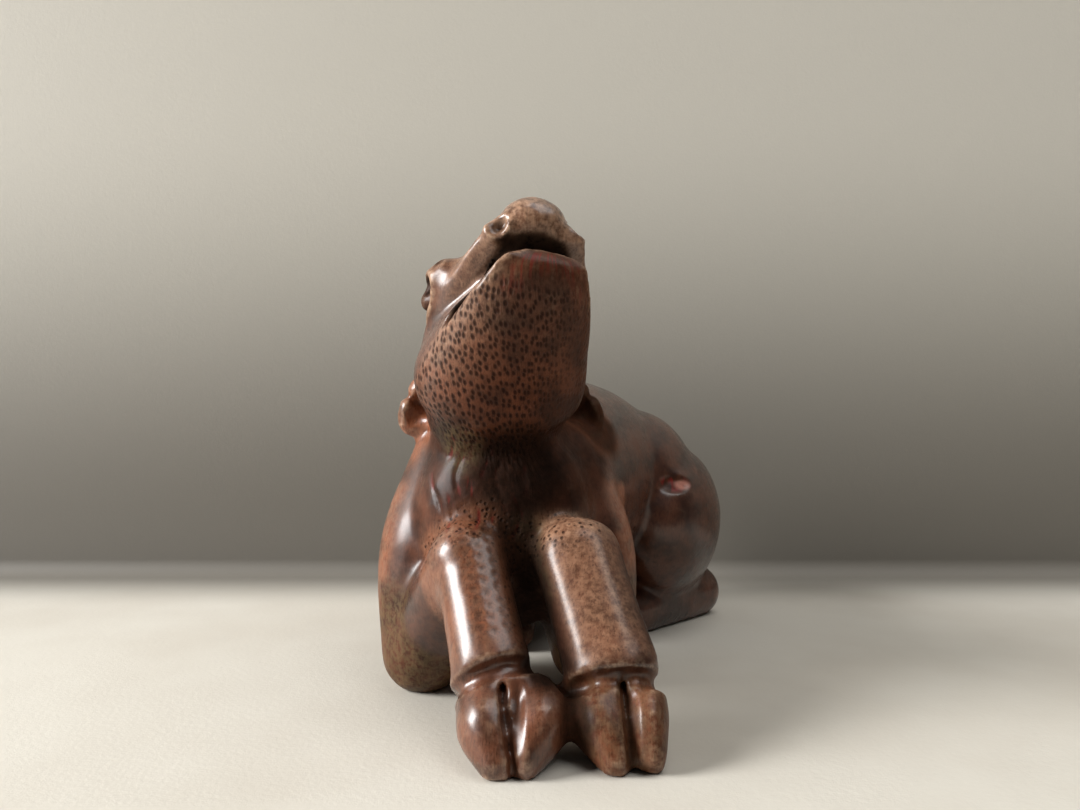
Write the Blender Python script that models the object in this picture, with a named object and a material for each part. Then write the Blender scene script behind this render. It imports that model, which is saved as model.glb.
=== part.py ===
"""A small carved wooden deer, lying down with its head thrown back.

One solid. The deer faces -Y, with its body receding towards +Y and turned a little to +X.
The masses of the body are skins drawn along short routes, joined and softened as a carver
rounds them over, and then the mouth, nostrils, eyes, ears and feet are cut in.
Sizes are in metres, written as millimetres times MM.
"""

import math

import bmesh
import bpy
from mathutils import Matrix, Vector
from mathutils.bvhtree import BVHTree

MM = 0.001

# Overall sizes
WIDTH = 62 * MM
LENGTH = 97 * MM
HEIGHT = 71 * MM

# The drawing that the places are read from shows a deer this wide, long and high, in its own units
DRAWN = Vector((62, 97, 71))


def at(x, y, z):
    """A place read off the drawing, at the deer's own width, length and height."""
    return Vector((x * WIDTH / DRAWN.x, y * LENGTH / DRAWN.y, z * HEIGHT / DRAWN.z))


# Torso: its places run from the chest to the rump
CHEST = at(-5.5, -3, 25.5)
WITHERS = at(-5, 7, 26)
RIBS = at(-1, 20, 28)
LOIN = at(6, 34, 28.5)
RUMP = at(11.5, 46, 26)
RUMP_END = at(14.6, 53.5, 25)
CHEST_WIDTH = 27 * MM
CHEST_HEIGHT = 33 * MM
WITHERS_WIDTH = 34 * MM
WITHERS_HEIGHT = 35 * MM
RIBS_WIDTH = 36 * MM
RIBS_HEIGHT = 39 * MM
LOIN_WIDTH = 36 * MM
LOIN_HEIGHT = 38 * MM
RUMP_WIDTH = 32 * MM
RUMP_HEIGHT = 35 * MM
RUMP_END_WIDTH = 22 * MM
RUMP_END_HEIGHT = 26 * MM

# Neck
NECK_FOOT = at(-5.5, 5, 32)
NECK_MIDDLE = at(-6.8, 0, 40)
NECK_TOP = at(-7, 0, 49)
NECK_WIDTH = 20.5 * MM
NECK_DEPTH = 21 * MM

# Head: places in it are measured forward along the muzzle, to the deer's right, and upward
# to its brow, from the point midway between its eyes
EYES_MIDDLE = at(-6.6, -4, 59.7)
HEAD_TURN = math.radians(24)
HEAD_PITCH = math.radians(47)
NOSE_FORWARD = 18.6 * MM
NOSE_DROP = 5.3 * MM
NOSE_WIDTH = 9.4 * MM
NOSE_HEIGHT = 7.6 * MM
BRIDGE_WIDTH = 15.2 * MM
BRIDGE_HEIGHT = 10 * MM
BROW_WIDTH = 20 * MM
BROW_HEIGHT = 17 * MM
BROW_DROP = 4.4 * MM
POLL_DROP = 7 * MM
SKULL_LENGTH = 17 * MM
LIP_DROP = 7.2 * MM
LIP_FORWARD = 16.5 * MM
LIP_WIDTH = 14.5 * MM
LIP_HEIGHT = 4.6 * MM
CHEEK_WIDTH = 23 * MM
CHEEK_HEIGHT = 7 * MM
CHIN_DROP = 12.6 * MM
CHIN_FORWARD = 15.6 * MM
JAW_DROP = 13.6 * MM
CHIN_SIDEWAYS = 1 * MM
CHIN_WIDTH = 14 * MM
CHIN_HEIGHT = 5 * MM
JAW_WIDTH = 17.4 * MM
JAW_HEIGHT = 9 * MM
THROAT = at(-5.6, -7.5, 47)
THROAT_WIDTH = 25.4 * MM
THROAT_HEIGHT = 19 * MM
GULLET = at(-6.9, -4, 41.5)
EYE_SPREAD = 23.8 * MM
EYE_SIZE = 3.8 * MM
LID_SIZE = 6.4 * MM
LID_LENGTH = 9.6 * MM
LID_DROP = 2.5 * MM

# Ears, laid back
EAR_LENGTH = 14 * MM
EAR_WIDTH = 7.5 * MM
EAR_THICKNESS = 4.4 * MM
RIGHT_EAR_ROOT = at(-14.5, 3, 49)
RIGHT_EAR_TIP = at(-21, 3, 39)
LEFT_EAR_ROOT = at(1.5, 8, 47.5)
LEFT_EAR_TIP = at(9.2, 9, 39.6)

# Forelegs: the deer's right leg is on the viewer's left. The hooves lie side by side, with a space
# between them that the softening closes, and each fetlock lies over its own hoof
RIGHT_SHOULDER = at(-13.5, 6, 33)
RIGHT_ARM = at(-16.4, 2, 20)
RIGHT_ELBOW = at(-17.6, -1, 5.6)
RIGHT_KNEE = at(-9.8, -13, 21.8)
LEFT_SHOULDER = at(2.5, 7, 33)
LEFT_ARM = at(6.4, 4, 20)
LEFT_ELBOW = at(8, 1, 5.6)
LEFT_KNEE = at(5, -13, 22.4)
SHOULDER_WIDTH = 15 * MM
ARM_WIDTH = 17.4 * MM
ARM_DEPTH = 18 * MM
ELBOW_WIDTH = 13.2 * MM
FOREARM_WIDTH = 11.6 * MM
KNEE_DEPTH = 10.4 * MM
RIGHT_CANNON_WIDTH = 10.4 * MM
LEFT_CANNON_WIDTH = 12.4 * MM
CANNON_DEPTH = 9.6 * MM

# Fore hooves. A hoof's place is on the floor under the split between its two toes, which are
# the viewer's left one and the viewer's right one, and its tips lie on each side of that place
RIGHT_HOOF = at(-2.8, -28, 0)
RIGHT_HOOF_TOES = (7 * MM, 5.8 * MM)
LEFT_HOOF_TOES = (6.6 * MM, 4.8 * MM)
HOOF_SPACE = 1.1 * MM
HOOF_STEP = 1 * MM
LEFT_HOOF = RIGHT_HOOF + Vector((RIGHT_HOOF_TOES[1] + HOOF_SPACE + LEFT_HOOF_TOES[0], HOOF_STEP, 0))
RIGHT_HOOF_TIPS = (2.2 * MM, 1 * MM)
LEFT_HOOF_TIPS = (1.8 * MM, 2.6 * MM)
RIGHT_FETLOCK = RIGHT_HOOF + at(-3.4, 5.5, 10)
LEFT_FETLOCK = LEFT_HOOF + at(-1.6, 4, 9.4)
HOOF_LENGTH = 11 * MM
HOOF_HEIGHT = 10 * MM

# Hindquarters: the thighs lie beside the loin, and the shanks on the floor under them
HIND_TURN = math.radians(20)
HIND_MIDDLE = at(9.5, 38, 0)
THIGH_SPREAD = 30 * MM
THIGH_BACK = 5 * MM
THIGH_HEIGHT = 20.2 * MM
THIGH_LENGTH = 36 * MM
THIGH_WIDTH = 21 * MM
THIGH_DEPTH = 30 * MM
HAUNCH_SPREAD = 16 * MM
HAUNCH_HEIGHT = 27 * MM
HAUNCH_LENGTH = 34 * MM
HAUNCH_WIDTH = 26 * MM
HAUNCH_DEPTH = 30 * MM
SHANK_WIDTH = 10.6 * MM
SHANK_DEPTH = 11 * MM
HIND_HOOF_LENGTH = 6 * MM
FOOT_INWARD = 6 * MM

# How far the shanks are sunk in the floor before their undersides are sawn flat
FLOOR_CUT = 1 * MM

# Tail, lying down over the rump
TAIL_LENGTH = 15 * MM
TAIL_WIDTH = 6.5 * MM
TAIL_THICKNESS = 4.5 * MM

# Carved lines
MOUTH_DROP = 9.9 * MM
MOUTH_GAP = 1.7 * MM
MOUTH_DEPTH = 2.4 * MM
MOUTH_FLARE = 0.9 * MM
MOUTH_CORNER = 2.6 * MM
MOUTH_SLANT = math.radians(9)
MOUTH_DROOP = 3.3 * MM
CLEFT_WIDTH = 1.1 * MM
CLEFT_DEPTH = 1.8 * MM
RIGHT_CLEFT_LEAN = 2 * MM
LEFT_CLEFT_LEAN = 0.8 * MM
GROOVE_WIDTH = 2.4 * MM
GROOVE_DROP = 2.2 * MM
RIGHT_GROOVE_TILT = math.radians(22)
LEFT_GROOVE_TILT = math.radians(5)
NOSTRIL_LENGTH = 3.8 * MM
NOSTRIL_WIDTH = 1.3 * MM
NOSTRIL_DEPTH = 3.4 * MM
NOSTRIL_BACK = 5.7 * MM
NOSTRIL_SPREAD = 6.2 * MM
NOSTRIL_DROP = 5.8 * MM

WOOD_COLOR = (0.2, 0.09, 0.055, 1)
WOOD_ROUGHNESS = 0.38
SHARP_ANGLE = math.radians(50)

# Working fineness of the carving, and how far the finished block is thinned out
FINENESS = 0.55 * MM
FINE_CUT = 0.25 * MM
FINISH = 0.4 * MM
SOFTENING = 8
TRIANGLES = 11600

SIDES = 28
STEPS = 6
DOME_STEPS = 5


def head_axes():
    """Forward, rightward and upward directions of the head."""
    turn_sin, turn_cos = math.sin(HEAD_TURN), math.cos(HEAD_TURN)
    pitch_sin, pitch_cos = math.sin(HEAD_PITCH), math.cos(HEAD_PITCH)
    forward = Vector((turn_sin * pitch_cos, -turn_cos * pitch_cos, pitch_sin))
    right = Vector((-turn_cos, -turn_sin, 0))
    upward = Vector((-turn_sin * pitch_sin, turn_cos * pitch_sin, pitch_cos))
    return forward, right, upward


FORWARD, RIGHT, UPWARD = head_axes()


def in_head(forward, right, upward):
    """A place in the head, from the point midway between the eyes."""
    return EYES_MIDDLE + forward * FORWARD + right * RIGHT + upward * UPWARD


def blend(a, b, c, d, t):
    """The smooth curve through b and c, at the share t of the way, as Catmull and Rom draw it."""
    return 0.5 * (2 * b + (c - a) * t + (2 * a - 5 * b + 4 * c - d) * t * t + (3 * b - a - 3 * c + d) * t**3)


def smooth_run(stations):
    """The stations with smooth in-between ones. Each is a place, half a width and half a depth."""
    last = len(stations) - 1
    run = []
    for index in range(last):
        near = [stations[min(max(index + k, 0), last)] for k in (-1, 0, 1, 2)]
        for step in range(STEPS):
            run.append(tuple(blend(*values, step / STEPS) for values in zip(*near)))
    run.append(stations[last])
    return run


def add_skin(bm, stations, deep_axis, dome=1.0):
    """A closed skin of oval rings along the stations, with a dome on each end.

    deep_axis is the direction in which a ring's depth is measured, as far as the route lets it.
    """
    run = smooth_run(stations)
    places = [station[0] for station in run]
    tangents = []
    for index in range(len(run)):
        ahead = places[min(index + 1, len(run) - 1)]
        behind = places[max(index - 1, 0)]
        tangents.append((ahead - behind).normalized())
    rings = []

    def ring(place, tangent, half_width, half_depth):
        across = tangent.cross(deep_axis).normalized()
        deep = across.cross(tangent).normalized()
        turn = [2 * math.pi * side / SIDES for side in range(SIDES)]
        return [
            bm.verts.new(place + across * half_width * math.cos(a) + deep * half_depth * math.sin(a))
            for a in turn
        ]

    def domed(index, way):
        place, half_width, half_depth = run[index]
        reach = dome * min(half_width, half_depth)
        made = []
        for step in range(1, DOME_STEPS):
            angle = 0.5 * math.pi * step / DOME_STEPS
            centre = place + tangents[index] * way * reach * math.sin(angle)
            share = math.cos(angle)
            made.append(ring(centre, tangents[index], half_width * share, half_depth * share))
        return made, bm.verts.new(place + tangents[index] * way * reach)

    start_rings, start_tip = domed(0, -1)
    end_rings, end_tip = domed(len(run) - 1, 1)
    rings += reversed(start_rings)
    rings += [ring(place, tangent, w, d) for (place, w, d), tangent in zip(run, tangents)]
    rings += end_rings
    for lower, upper in zip(rings, rings[1:]):
        for side in range(SIDES):
            after = (side + 1) % SIDES
            bm.faces.new((lower[side], lower[after], upper[after], upper[side]))
    for side in range(SIDES):
        after = (side + 1) % SIDES
        bm.faces.new((start_tip, rings[0][after], rings[0][side]))
        bm.faces.new((end_tip, rings[-1][side], rings[-1][after]))


def add_ball(bm, centre, across, deep, high, axes=None):
    """An egg-shaped ball with its full sizes along three directions."""
    frame = Matrix(axes).transposed() if axes else Matrix.Identity(3)
    size = Matrix.Diagonal((across / 2, deep / 2, high / 2))
    matrix = Matrix.Translation(centre) @ (frame @ size).to_4x4()
    bmesh.ops.create_icosphere(bm, subdivisions=4, radius=1, matrix=matrix)


def half(*sizes):
    """Half of each size."""
    return tuple(size / 2 for size in sizes)


def add_torso(bm):
    """Chest, belly, back and rump in one."""
    add_skin(
        bm,
        [
            (CHEST, *half(CHEST_WIDTH, CHEST_HEIGHT)),
            (WITHERS, *half(WITHERS_WIDTH, WITHERS_HEIGHT)),
            (RIBS, *half(RIBS_WIDTH, RIBS_HEIGHT)),
            (LOIN, *half(LOIN_WIDTH, LOIN_HEIGHT)),
            (RUMP, *half(RUMP_WIDTH, RUMP_HEIGHT)),
            (RUMP_END, *half(RUMP_END_WIDTH, RUMP_END_HEIGHT)),
        ],
        Vector((0, 0, 1)),
        dome=0.75,
    )


def add_neck(bm):
    """The thrown-back neck, wider where it leaves the shoulders."""
    foot_swell = 1.35
    add_skin(
        bm,
        [
            (NECK_FOOT, *half(NECK_WIDTH * foot_swell, NECK_DEPTH * foot_swell)),
            (NECK_MIDDLE, *half(NECK_WIDTH, NECK_DEPTH)),
            (NECK_TOP, *half(NECK_WIDTH, NECK_DEPTH)),
        ],
        Vector((0, 1, 0)),
    )


def add_head(bm):
    """Skull and muzzle, then the upper lip and cheeks, then the chin, jaw and throat."""
    nose_dome = 0.9 * NOSE_HEIGHT / 2
    bridge = NOSE_FORWARD / 2
    add_skin(
        bm,
        [
            (in_head(NOSE_FORWARD - nose_dome, 0, -NOSE_DROP), *half(NOSE_WIDTH, NOSE_HEIGHT)),
            (in_head(bridge, 0, -NOSE_DROP), *half(BRIDGE_WIDTH, BRIDGE_HEIGHT)),
            (in_head(0, 0, -BROW_DROP), *half(BROW_WIDTH, BROW_HEIGHT)),
            (in_head(-SKULL_LENGTH / 2, 0, -BROW_DROP), *half(1.06 * BROW_WIDTH, 1.06 * BROW_HEIGHT)),
            (in_head(-0.8 * SKULL_LENGTH, 0, -POLL_DROP), *half(BROW_WIDTH, BROW_HEIGHT)),
        ],
        UPWARD,
        dome=0.9,
    )
    slanting = math.cos(MOUTH_SLANT) * UPWARD - math.sin(MOUTH_SLANT) * RIGHT
    lip = LIP_FORWARD - LIP_HEIGHT / 2
    add_skin(
        bm,
        [
            (in_head(lip, 0, -LIP_DROP), *half(LIP_WIDTH, LIP_HEIGHT)),
            (in_head(0.6 * lip, 0, -LIP_DROP), *half((LIP_WIDTH + CHEEK_WIDTH) / 2, 0.6 * CHEEK_HEIGHT)),
            (in_head(0, 0, -LIP_DROP), *half(CHEEK_WIDTH, CHEEK_HEIGHT)),
            (in_head(-SKULL_LENGTH / 2, 0, -LIP_DROP), *half(CHEEK_WIDTH, 1.5 * CHEEK_HEIGHT)),
        ],
        slanting,
    )
    chin = CHIN_FORWARD - CHIN_HEIGHT / 2
    add_skin(
        bm,
        [
            (in_head(chin, CHIN_SIDEWAYS, -CHIN_DROP), *half(CHIN_WIDTH, CHIN_HEIGHT)),
            (in_head(0.55 * chin, CHIN_SIDEWAYS, -JAW_DROP), *half(JAW_WIDTH, JAW_HEIGHT)),
            (THROAT, *half(THROAT_WIDTH, THROAT_HEIGHT)),
            (GULLET, *half(0.8 * THROAT_WIDTH, 0.95 * THROAT_HEIGHT)),
        ],
        slanting,
        dome=0.8,
    )


def add_lids(bm):
    """The swellings in which the eyes sit."""
    for side in (-1, 1):
        lid = in_head(0.2 * LID_LENGTH, side * (EYE_SPREAD - LID_SIZE) / 2, -LID_DROP)
        add_ball(bm, lid, LID_SIZE, LID_LENGTH, 1.1 * LID_SIZE, (RIGHT, FORWARD, UPWARD))


def add_eyeballs(bm):
    """Round eyes, set back in their hollows."""
    for side in (-1, 1):
        place = in_head(-0.15 * EYE_SIZE, side * (EYE_SPREAD - EYE_SIZE) / 2, -LID_DROP)
        add_ball(bm, place, EYE_SIZE, EYE_SIZE, EYE_SIZE, (RIGHT, FORWARD, UPWARD))


def add_sockets(bm):
    """Almond hollows round the eyeballs, longer towards the muzzle."""
    for side in (-1, 1):
        place = in_head(0.2 * EYE_SIZE, side * EYE_SPREAD / 2, -LID_DROP)
        add_ball(bm, place, 0.8 * EYE_SIZE, 1.6 * EYE_SIZE, 1.1 * EYE_SIZE, (RIGHT, FORWARD, UPWARD))


def skin_point(tree, inside, way):
    """Where the way outward from a point inside the block leaves it."""
    hit = tree.ray_cast(inside, way)[0]
    return hit if hit is not None else inside


def add_mouth(bm, tree):
    """A slit that follows the lips round, from one corner of the mouth to the other.

    It is laid a little outside the lips, so that their edges open out. It rises to the deer's right,
    and droops at both sides.
    """
    middle = in_head(MOUTH_CORNER, 0, -MOUTH_DROP)
    sideways = math.cos(MOUTH_SLANT) * RIGHT + math.sin(MOUTH_SLANT) * UPWARD
    stations = []
    for step in range(-6, 7):
        angle = 0.5 * math.pi * step / 6
        way = math.cos(angle) * FORWARD + math.sin(angle) * sideways
        drooping = middle - MOUTH_DROOP * math.sin(min(2 * abs(angle), 0.64 * math.pi)) ** 2 * UPWARD
        place = skin_point(tree, drooping, way) + MOUTH_FLARE * way
        gap = MOUTH_GAP * (0.75 + 0.25 * math.cos(angle))
        stations.append((place, MOUTH_DEPTH + MOUTH_FLARE, gap / 2))
    add_skin(bm, stations, UPWARD)


def add_nostrils(bm, tree):
    """A slit on each side of the nose, rising inward."""
    for side in (-1, 1):
        way = (0.65 * FORWARD - 0.7 * side * RIGHT + 0.3 * UPWARD).normalized()
        outward = 0.8 * FORWARD + 0.55 * side * RIGHT - 0.25 * UPWARD
        outward = (outward - outward.dot(way) * way).normalized()
        inside = in_head(NOSE_FORWARD - NOSTRIL_BACK, side * NOSTRIL_SPREAD / 2, -NOSTRIL_DROP)
        place = skin_point(tree, inside, outward)
        add_ball(bm, place, NOSTRIL_LENGTH, NOSTRIL_DEPTH, NOSTRIL_WIDTH, (way, outward, way.cross(outward)))


def ear_axes(root, tip):
    """Along the ear to its tip, across the leaf, and through it."""
    way = (tip - root).normalized()
    through = (Vector((0, -1, 0)) - Vector((0, -1, 0)).dot(way) * way).normalized()
    return way, through.cross(way).normalized(), through


def add_ear(bm, root, tip):
    """A leaf-shaped ear."""
    axes = ear_axes(root, tip)
    add_ball(bm, (root + tip) / 2, EAR_LENGTH, EAR_WIDTH, EAR_THICKNESS, axes)


def add_ear_hollow(bm, root, tip):
    """The hollow of the ear, nearer its tip."""
    axes = ear_axes(root, tip)
    place = (root + tip) / 2 + axes[2] * 0.45 * EAR_THICKNESS + axes[0] * 0.08 * EAR_LENGTH
    add_ball(bm, place, 0.66 * EAR_LENGTH, 0.5 * EAR_WIDTH, 0.8 * EAR_THICKNESS, axes)


def add_foreleg(bm, shoulder, arm, elbow, knee, fetlock, cannon_width):
    """Upper arm down to the elbow on the floor, forearm up to the knee, and cannon down to the fetlock."""
    fore = Vector((0, -1, 0))
    add_skin(
        bm,
        [
            (shoulder, *half(SHOULDER_WIDTH, ARM_DEPTH)),
            (arm, *half(ARM_WIDTH, ARM_DEPTH)),
            (elbow, *half(ELBOW_WIDTH, ELBOW_WIDTH)),
        ],
        fore,
    )
    add_skin(
        bm,
        [
            (elbow, *half(ELBOW_WIDTH, ELBOW_WIDTH)),
            ((elbow + knee) / 2, *half(FOREARM_WIDTH, FOREARM_WIDTH)),
            (knee, *half(FOREARM_WIDTH, KNEE_DEPTH)),
        ],
        Vector((0, 0, 1)),
    )
    add_skin(
        bm,
        [
            (knee, *half(cannon_width, KNEE_DEPTH)),
            ((knee + fetlock) / 2, *half(0.96 * cannon_width, CANNON_DEPTH)),
            (fetlock, *half(cannon_width, CANNON_DEPTH)),
        ],
        fore,
        dome=0.9,
    )


def add_hoof(bm, fetlock, hoof, toes, tips):
    """Two toes side by side, from under the fetlock to their tips on the floor."""
    for side, toe, tip_place in zip((-1, 1), toes, tips):
        root = fetlock + Vector((side * toe * 0.3, -0.1 * HOOF_LENGTH, -0.2 * HOOF_HEIGHT))
        heel = hoof + Vector((side * toe / 2, 0.3 * HOOF_LENGTH, 0.55 * HOOF_HEIGHT))
        middle = hoof + Vector((side * toe / 2, 0, 0.4 * HOOF_HEIGHT))
        tip = hoof + Vector((side * tip_place, -0.32 * HOOF_LENGTH, 0.12 * HOOF_HEIGHT))
        add_skin(
            bm,
            [
                (root, *half(toe, 0.8 * HOOF_HEIGHT)),
                (heel, *half(1.1 * toe, 0.9 * HOOF_HEIGHT)),
                (middle, *half(1.1 * toe, 0.9 * HOOF_HEIGHT)),
                (tip, *half(0.64 * toe, 0.5 * HOOF_HEIGHT)),
            ],
            Vector((0, -0.6, 0.8)),
            dome=0.8,
        )


def add_cleft(bm, hoof, lean):
    """The split between a hoof's two toes, from its top down over the front to the floor.

    It is shallow at its top, which lies further to the viewer's left than its foot by lean.
    """
    profile = [(0.3, 0.9, 0.35), (0.06, 0.82, 0.6), (-0.3, 0.5, 1), (-0.55, 0, 1)]
    stations = [
        (
            hoof + Vector((-up * lean, along * HOOF_LENGTH, up * HOOF_HEIGHT)),
            CLEFT_WIDTH / 2,
            CLEFT_DEPTH * depth,
        )
        for along, up, depth in profile
    ]
    add_skin(bm, stations, Vector((0, -0.7, 0.7)))


def add_pastern_groove(bm, tree, knee, fetlock, tilt):
    """A groove round the front and sides of the leg where the hoof begins, higher on the viewer's right."""
    way = (fetlock - knee).normalized()
    across = Vector((math.cos(tilt), 0, math.sin(tilt)))
    front = way.cross(across).normalized()
    centre = fetlock + way * GROOVE_DROP
    stations = []
    for step in range(-4, 5):
        angle = math.radians(25 * step)
        place = skin_point(tree, centre, math.sin(angle) * across + math.cos(angle) * front)
        stations.append((place, GROOVE_WIDTH / 2, GROOVE_WIDTH / 2))
    add_skin(bm, stations, way)


def hind_axes():
    """Backward and rightward directions of the hindquarters, flat on the floor."""
    backward = Vector((math.sin(HIND_TURN), math.cos(HIND_TURN), 0))
    outward = Vector((math.cos(HIND_TURN), -math.sin(HIND_TURN), 0))
    return backward, outward


def add_hind_leg(bm, side):
    """The folded leg on one side: 1 is the viewer's right."""
    backward, outward = hind_axes()
    thigh = HIND_MIDDLE + outward * side * THIGH_SPREAD / 2 + backward * side * THIGH_BACK
    thigh.z = THIGH_HEIGHT
    axes = (outward, backward, Vector((0, 0, 1)))
    add_ball(bm, thigh, THIGH_WIDTH, THIGH_LENGTH, THIGH_DEPTH, axes)
    haunch = HIND_MIDDLE + outward * side * HAUNCH_SPREAD / 2 + backward * side * THIGH_BACK / 2
    haunch.z = HAUNCH_HEIGHT
    add_ball(bm, haunch, HAUNCH_WIDTH, HAUNCH_LENGTH, HAUNCH_DEPTH, axes)
    hock = thigh + outward * side * 0.2 * THIGH_WIDTH + backward * 0.22 * THIGH_LENGTH
    hock.z = SHANK_DEPTH / 2 - FLOOR_CUT
    foot = thigh - outward * side * FOOT_INWARD - backward * 0.38 * THIGH_LENGTH
    foot.z = 0.45 * SHANK_DEPTH - FLOOR_CUT
    toe = foot - (hock - foot).normalized() * HIND_HOOF_LENGTH
    toe.z = 0.35 * SHANK_DEPTH - FLOOR_CUT
    add_skin(
        bm,
        [
            (hock, *half(SHANK_WIDTH, SHANK_DEPTH)),
            ((hock + foot) / 2, *half(0.95 * SHANK_WIDTH, 0.95 * SHANK_DEPTH)),
            (foot, *half(0.9 * SHANK_WIDTH, 0.85 * SHANK_DEPTH)),
            (toe, *half(0.75 * SHANK_WIDTH, 0.6 * SHANK_DEPTH)),
        ],
        Vector((0, 0, 1)),
    )


def add_tail(bm):
    """A short tail, lying down the end of the rump."""
    backward = hind_axes()[0]
    end = RUMP_END + backward * 0.33 * RUMP_END_WIDTH
    root = end - backward * 0.1 * TAIL_LENGTH + Vector((0, 0, 0.55 * TAIL_LENGTH))
    tip = end + backward * 0.06 * TAIL_LENGTH - Vector((0, 0, 0.45 * TAIL_LENGTH))
    add_skin(
        bm,
        [
            (root, *half(0.8 * TAIL_WIDTH, TAIL_THICKNESS)),
            ((root + tip) / 2 + 0.1 * TAIL_LENGTH * backward, *half(TAIL_WIDTH, TAIL_THICKNESS)),
            (tip, *half(0.6 * TAIL_WIDTH, 0.7 * TAIL_THICKNESS)),
        ],
        backward,
    )


def new_object(name, bm):
    bmesh.ops.recalc_face_normals(bm, faces=bm.faces)
    mesh = bpy.data.meshes.new(name)
    bm.to_mesh(mesh)
    bm.free()
    obj = bpy.data.objects.new(name, mesh)
    bpy.context.scene.collection.objects.link(obj)
    return obj


def settle(obj):
    """Replaces the object's mesh with what its modifiers make of it."""
    bpy.context.view_layer.update()
    graph = bpy.context.evaluated_depsgraph_get()
    mesh = bpy.data.meshes.new_from_object(obj.evaluated_get(graph))
    obj.modifiers.clear()
    obj.data = mesh


def remesh(obj, size):
    modifier = obj.modifiers.new("fuse", "REMESH")
    modifier.mode = "VOXEL"
    modifier.voxel_size = size


def soften(obj, times):
    modifier = obj.modifiers.new("soften", "SMOOTH")
    modifier.factor = 0.5
    modifier.iterations = times


def cut(obj, cutter):
    cutter.hide_render = True
    cutter.display_type = "WIRE"
    modifier = obj.modifiers.new("cut", "BOOLEAN")
    modifier.operation = "DIFFERENCE"
    modifier.object = cutter


def join(obj, other):
    other.hide_render = True
    other.display_type = "WIRE"
    modifier = obj.modifiers.new("join", "BOOLEAN")
    modifier.operation = "UNION"
    modifier.object = other


def centre(obj):
    """Brings the middle of the object's footprint, seen from above, to the origin."""
    xs = [vertex.co.x for vertex in obj.data.vertices]
    ys = [vertex.co.y for vertex in obj.data.vertices]
    obj.location = (-(min(xs) + max(xs)) / 2, -(min(ys) + max(ys)) / 2, 0)


def stained_wood():
    """Dark red-brown stained hardwood."""
    material = bpy.data.materials.new("stained_wood")
    material.use_nodes = True
    shader = material.node_tree.nodes["Principled BSDF"]
    shader.inputs["Base Color"].default_value = WOOD_COLOR
    shader.inputs["Roughness"].default_value = WOOD_ROUGHNESS
    shader.inputs["Metallic"].default_value = 0
    return material


def finish(obj):
    """The object's material, and its rounded forms shaded smooth."""
    obj.data.materials.clear()
    obj.data.materials.append(stained_wood())
    obj.data.shade_smooth()
    obj.data.set_sharp_from_angle(angle=SHARP_ANGLE)


def floor_block():
    """The space under the floor, which leaves the deer with flat feet to rest on."""
    depth = 0.4 * HEIGHT
    reach = 4 * LENGTH
    bm = bmesh.new()
    bmesh.ops.create_cube(bm, size=1, matrix=Matrix.Diagonal((reach, reach, depth, 1)))
    block = new_object("floor_block", bm)
    block.location.z = -depth / 2
    return block


def carve_block(bm):
    """The masses of the deer, each a closed skin that runs into its neighbours."""
    add_torso(bm)
    add_neck(bm)
    add_head(bm)
    add_lids(bm)
    add_ear(bm, RIGHT_EAR_ROOT, RIGHT_EAR_TIP)
    add_ear(bm, LEFT_EAR_ROOT, LEFT_EAR_TIP)
    add_foreleg(bm, RIGHT_SHOULDER, RIGHT_ARM, RIGHT_ELBOW, RIGHT_KNEE, RIGHT_FETLOCK, RIGHT_CANNON_WIDTH)
    add_foreleg(bm, LEFT_SHOULDER, LEFT_ARM, LEFT_ELBOW, LEFT_KNEE, LEFT_FETLOCK, LEFT_CANNON_WIDTH)
    add_hoof(bm, RIGHT_FETLOCK, RIGHT_HOOF, RIGHT_HOOF_TOES, RIGHT_HOOF_TIPS)
    add_hoof(bm, LEFT_FETLOCK, LEFT_HOOF, LEFT_HOOF_TOES, LEFT_HOOF_TIPS)
    for side in (-1, 1):
        add_hind_leg(bm, side)
    add_tail(bm)


def carve_lines(bm, tree):
    """What the knife took out afterwards. tree finds places on the block's skin."""
    add_mouth(bm, tree)
    add_nostrils(bm, tree)
    add_sockets(bm)
    add_ear_hollow(bm, RIGHT_EAR_ROOT, RIGHT_EAR_TIP)
    add_ear_hollow(bm, LEFT_EAR_ROOT, LEFT_EAR_TIP)
    add_cleft(bm, RIGHT_HOOF, RIGHT_CLEFT_LEAN)
    add_cleft(bm, LEFT_HOOF, LEFT_CLEFT_LEAN)
    add_pastern_groove(bm, tree, RIGHT_KNEE, RIGHT_FETLOCK, RIGHT_GROOVE_TILT)
    add_pastern_groove(bm, tree, LEFT_KNEE, LEFT_FETLOCK, LEFT_GROOVE_TILT)


def main():
    """Joins and softens the masses, cuts the lines, sets the eyes in, and saws the underside flat."""
    for obj in list(bpy.data.objects):
        bpy.data.objects.remove(obj)
    bm = bmesh.new()
    carve_block(bm)
    deer = new_object("deer_figure", bm)
    remesh(deer, FINENESS)
    soften(deer, SOFTENING)
    settle(deer)
    tree = BVHTree.FromObject(deer, bpy.context.evaluated_depsgraph_get())
    bm = bmesh.new()
    carve_lines(bm, tree)
    lines = new_object("carved_lines", bm)
    remesh(lines, FINE_CUT)
    settle(lines)
    bm = bmesh.new()
    add_eyeballs(bm)
    eyeballs = new_object("eyeballs", bm)
    cut(deer, lines)
    join(deer, eyeballs)
    remesh(deer, FINISH)
    soften(deer, 1)
    settle(deer)
    thin = deer.modifiers.new("thin", "DECIMATE")
    thin.ratio = TRIANGLES / (2 * len(deer.data.polygons))
    cut(deer, floor_block())
    settle(deer)
    centre(deer)
    finish(deer)


main()
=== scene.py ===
"""Looks of a small carved wooden deer: its worked skin, its stained and worn wood, and its setting.

The deer faces -Y and rests on Z = 0. The knife work is pressed into a fine copy of the solid's
skin, and each place on the skin is marked with how hollow, rubbed, dusty or stained it is and
where painted shade and painted highlights go, which the wood's finish then reads. Sizes are
metres, written as millimetres times MM.
"""

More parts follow.
